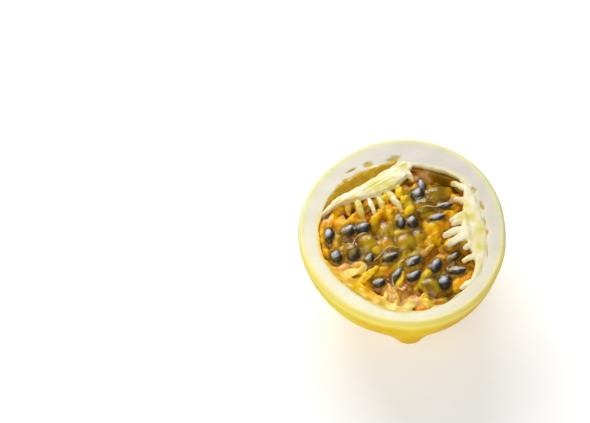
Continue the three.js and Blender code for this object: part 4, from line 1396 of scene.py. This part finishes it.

# %% [markdown]
# Cloudy flesh scatters light, so it glows golden where it is thin. Its coat gives the wet shine. Tints
# lay the colours of the heap over it, with pale and dark streaks along each sac. The darkening of
# crevices, deep flesh and low places is painted shade, and the last tint is the shade of the seeds.

# %% Finish of the flesh
flesh_finish = make_tissue(
    "cloudy_golden_flesh", light=(254, 200, 4), dark=(236, 152, 0),
    mottle={"Patches": 240.0, "Fineness": 5.0, "Sharpness": 0.6},
    tints=[
        ((208, 198, 26), "olive", 0.95), ((250, 160, 0), "orange", 0.6),
        ((255, 236, 110), "pale_streak", 0.45), ((176, 104, 2), "dark_streak", 0.55),
        # painted shade: three tints here darken crevices, deep flesh and low places
        ((150, 72, 4), "crevice_shade", 0.8), ((116, 70, 4), "deep", 0.9), ((122, 92, 4), "shade", 0.75),
        ((252, 216, 164), "cream", 0.9), ((240, 182, 134), "pink", 0.75), ((60, 50, 8), "seed_shade", 0.8),
    ],
    relief={"Size": 700.0, "Depth": 0.0002, "Fineness": 4.0},
    Roughness=0.4, Subsurface_Weight=0.4, Subsurface_Scale=0.002, Subsurface_Radius=(1.0, 0.7, 0.15),
    Specular_IOR_Level=0.1, Coat_Weight=0.3, Coat_Roughness=0.16, Coat_IOR=1.4, IOR=1.36)
print("finish", flesh_finish.name)

# %% [markdown]
# In a clear sac only the heart is cloudy, so its flesh is smaller than the sac and sunk a little. The
# ripples and lumps are for the fleshy sacs, which lie bare, and fade out at the seams between two.

# %% Flesh of the sacs
SEED_HEART = 0.84
CLEAR_HEART = 0.76
HEART_SUNK = 0.25
flesh_bodies = [sac_body(sac, SEED_HEART, HEART_SUNK) for sac in SEED_SACS]
flesh_bodies += [sac_body(sac, CLEAR_HEART, HEART_SUNK) for sac in CLEAR_SACS]
flesh_bodies += [sac_body(sac) for sac in CLOUDY_SACS]
sac_flesh, flesh_points = melted_piece(
    "sac_flesh", flesh_bodies, flesh_finish, seed=84, voxel=0.34, sway=0.0, smoothing=30)
own_sac, border = nearest_sacs(flesh_points)
ripple = np.zeros(len(flesh_points))
for number, sac in enumerate(SACS):
    mine = own_sac == number
    ripple[mine] = streaks(flesh_points[mine], sac[2], 1.5, 300 + number)
bare = (own_sac >= len(GEL_SACS)) * smoothstep(0.0, 0.25, border)
flesh_points[:, 2] += bare * (0.07 * ripple + 0.22 * lumps(flesh_points, 3.4, 85))
flesh_points[:, :2] += bare[:, None] * (0.15 * wander(flesh_points, 2.6, (86, 87)))
write_points(sac_flesh, flesh_points)
print("bare flesh:", round(100 * float((bare > 0.5).mean())), "percent of its points")

# %% [markdown]
# The flesh is painted darker the deeper it lies, most of all in the creases between two sacs: painted
# shade. These masks and the colours by place are stored last, when the points have moved to where they
# stay.

# %% Masks and place of the flesh
sunk = flesh_points[:, 2] - pulp_level(flesh_points[:, 0], flesh_points[:, 1])
painted_crease_shade = (1 - smoothstep(0.0, 0.2, border)) * smoothstep(0.0, -1.4, sunk)
store_tones(sac_flesh, flesh_points)
# painted shade, darker with depth and in the creases between sacs
store(sac_flesh, "deep", np.maximum(smoothstep(-0.7, -2.6, sunk), 0.6 * painted_crease_shade))
store(sac_flesh, "pale_streak", smoothstep(0.5, 1.8, ripple))
store(sac_flesh, "dark_streak", smoothstep(0.6, 2.0, -ripple))
store(sac_flesh, "seed_shade", seed_shade(flesh_points))
finish_piece(sac_flesh, "pulp", "pulp")

# %% [markdown]
# The juice is clear, so it is the one finish with transmission: light bends through it and shows
# flesh and seed below. The deeper it is, the more blue it swallows, which is what a Volume Absorption
# node does. All sacs are melted into one skin first. Separate overlapping clear bodies would draw
# hard seams inside each other, and melted ones keep only the creases that show on top.

# %% Juice sacs
juice = make_tissue(
    "clear_golden_juice", light=(255, 242, 160), dark=(255, 230, 120),
    mottle={"Patches": 220.0, "Fineness": 3.0, "Sharpness": 0.4}, tints=[],
    relief={"Size": 420.0, "Depth": 0.00012, "Fineness": 1.0},
    Roughness=0.2, Transmission_Weight=1.0, IOR=1.33,
    Coat_Weight=0.25, Coat_Roughness=0.22, Coat_IOR=1.55)
juice_tree = juice.node_tree
juice_depth = {"Color": (0.955, 0.90, 0.0, 1), "Density": 300.0}
swallow = node(juice_tree, "ShaderNodeVolumeAbsorption", juice_depth)
wire(juice_tree, (swallow, "Volume", juice_tree.nodes["Material Output"], "Volume"))
juice_bodies = [sac_body(sac) for sac in GEL_SACS]
juice_sacs, juice_points = melted_piece(
    "juice_sacs", juice_bodies, juice, seed=101, voxel=0.3, sway=0.06, smoothing=26)
write_points(juice_sacs, held_in_hollow(juice_points, BED_EDGE))
finish_piece(juice_sacs, "pulp", "pulp")

# %% [markdown]
# Each sac is held in a thin pale skin. Where the skins of two sacs meet they fold into a whitish line,
# and torn ones lie over the juice as threads. The finish is that of the bands, with other colours.

# %% Threads of sac skin
THREADS = [  # places along the thread, half width
    ([(-17.3, -7.5), (-16.6, -4.6), (-14.8, -2.9), (-12.3, -2.1)], 0.22),
    ([(-10.2, -13.6), (-8.6, -11.6), (-6.4, -9.2), (-3.5, -7.6), (-1.5, -8.2)], 0.26),
    ([(-2.4, -16.4), (-1.4, -14.2), (0.4, -12.1)], 0.22),
    ([(7.0, 8.2), (9.4, 8.9), (13.2, 9.2), (17.8, 10.4)], 0.2),
    ([(8.3, -9.4), (9.0, -7.4), (9.8, -5.2)], 0.26),
    ([(-4.2, -20.0), (-3.2, -22.4), (-1.0, -25.2)], 0.3),
    ([(-5.6, -21.6), (-4.6, -25.2), (-3.6, -27.4), (-4.8, -30.2)], 0.6),
    ([(-20.8, -5.2), (-19.6, -6.2), (-18.2, -6.6)], 0.22),
    ([(-7.2, -3.4), (-6.2, -1.2), (-4.6, 1.2)], 0.18),
    ([(8.6, -27.0), (11.0, -28.4), (13.6, -28.4)], 0.24),
]
membrane_skin = make_band_flesh(
    "pale_membrane", light=(238, 220, 150), dark=(216, 184, 84), patch=(232, 200, 150),
    juice=(226, 176, 60), see_through=0.3)
print("threads:", len(THREADS), "with the finish", membrane_skin.name)

# %% [markdown]
# A thread is a narrow pod dropped on the heap. A ray from above finds how high each place is, so that
# the thread hugs what it lies on. A Shrinkwrap modifier could lay it too, but would flatten it.

# %% Threads on the heap
THREAD_LIFT = 0.05
THREAD_WIDTHS = (0.5, 1.0, 0.6, 1.1, 0.5)
THREAD_THICKNESS = 0.7
pulp_trees = [BVHTree.FromObject(piece, bpy.context.evaluated_depsgraph_get())
              for piece in (juice_sacs, sac_flesh, seeds, pulp_bed)]


def heap_height(x, y):
    """How high the heap of sacs is at a place, in mm."""
    above = Vector((x * MM, y * MM, 2 * RIM * MM))
    hits = [tree.ray_cast(above, Vector((0, 0, -1)))[0] for tree in pulp_trees]
    return max(hit.z for hit in hits if hit is not None) / MM


def thread_body(places, half_width):
    """A thread with an uneven width that lies on the heap."""
    flat, _ = curve_points([(x, y, 0.0) for x, y in places], np.linspace(0, 1, 9))
    path = [(x, y, heap_height(x, y) + THREAD_LIFT) for x, y, _ in flat]
    widths = [half_width * share for share in THREAD_WIDTHS]
    return pod(path, widths, [half_width * THREAD_THICKNESS], around=10, steps=34, blunt=0.3)


thread_bodies = [thread_body(*thread) for thread in THREADS]
membranes = new_piece("membranes", *combined(thread_bodies), [membrane_skin])
thread_points = read_points(membranes)
thread_points += 0.14 * wander(thread_points, 3.0, (111, 112, 113))
write_points(membranes, thread_points)
thread_patches = [(-12, -3, 5), (-6, -10, 3), (10, 9, 3)]
store_tissue(membranes, thread_points, thread_patches, heading=40, seed=114, deep_from=-3.0)
finish_piece(membranes, "pulp", "pulp")

# %% [markdown]
# ## Stage, light and camera
# The floor glows a little of itself, so that it stays pale beside so bright a fruit. A wide softbox
# behind and above gives the broad pale shine on everything wet, and a second one in front opens the
# shadows. An even sky fills in the rest.

# %% Stage
FLOOR_HALF = 1.5
FRUIT_MIDDLE = (0, 0, 0.03)


def make_floor():
    material, _, _ = new_material(
        "pale_floor", Base_Color=(0.74, 0.74, 0.74, 1), Roughness=0.9, Specular_IOR_Level=0.1,
        Emission_Color=(1, 1, 1, 1), Emission_Strength=0.36)
    corners = [(-FLOOR_HALF, -FLOOR_HALF, 0), (FLOOR_HALF, -FLOOR_HALF, 0), (FLOOR_HALF, FLOOR_HALF, 0),
               (-FLOOR_HALF, FLOOR_HALF, 0)]
    mesh = bpy.data.meshes.new("floor")
    mesh.from_pydata(corners, [], [(0, 1, 2, 3)])
    mesh.materials.append(material)
    floor = bpy.data.objects.new("floor", mesh)
    bpy.context.scene.collection.objects.link(floor)
    floor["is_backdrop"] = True


def softbox(name, place, wide, high, power, colour):
    """A soft rectangular lamp aimed at the fruit, in metres and watts."""
    light = bpy.data.lights.new(name, "AREA")
    light.shape = "RECTANGLE"
    light.size, light.size_y = wide, high
    light.energy = power
    light.color = colour
    lamp = bpy.data.objects.new(name, light)
    lamp.location = place
    lamp.rotation_euler = (Vector(FRUIT_MIDDLE) - Vector(place)).to_track_quat("-Z", "Y").to_euler()
    bpy.context.scene.collection.objects.link(lamp)


make_floor()
softbox("back_softbox", (-0.16, 0.58, 0.45), wide=0.62, high=0.40, power=5.9, colour=(0.96, 0.97, 1.0))
softbox("front_softbox", (-0.18, -0.46, 0.43), wide=0.6, high=0.5, power=2.1, colour=(1.0, 0.985, 0.955))
world = bpy.data.worlds.new("studio")
world.use_nodes = True
sky = world.node_tree.nodes["Background"]
sky.inputs["Color"].default_value = (0.97, 0.98, 1.0, 1)
sky.inputs["Strength"].default_value = 0.25
bpy.context.scene.world = world
bpy.context.scene.view_settings.view_transform = "Standard"
print("stage and lights ready")

# %% [markdown]
# The camera looks down at the cut face from a little over 55 degrees above the floor. A long lens from
# some way off keeps the round rim free of distortion. It aims to the left of the half, which puts the
# fruit in the right part of the frame.

# %% Camera
CAMERA_ELEVATION = math.radians(55.5)
CAMERA_DISTANCE = 0.571
LENS = 100.0
AIM = Vector((-37.1, 6.8, RIM)) * MM
camera_data = bpy.data.cameras.new("camera")
camera_data.lens = LENS
camera = bpy.data.objects.new("camera", camera_data)
back = Vector((0, -math.cos(CAMERA_ELEVATION), math.sin(CAMERA_ELEVATION)))
camera.location = AIM + back * CAMERA_DISTANCE
camera.rotation_euler = (-back).to_track_quat("-Z", "Y").to_euler()
bpy.context.scene.collection.objects.link(camera)
bpy.context.scene.camera = camera
print("camera", [round(value, 3) for value in camera.location])

# %% Finish
dressed_low, dressed_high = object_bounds()
for corner in (dressed_low, dressed_high):
    print("a corner of the dressed box", [round(value / MM, 2) for value in corner], "mm")
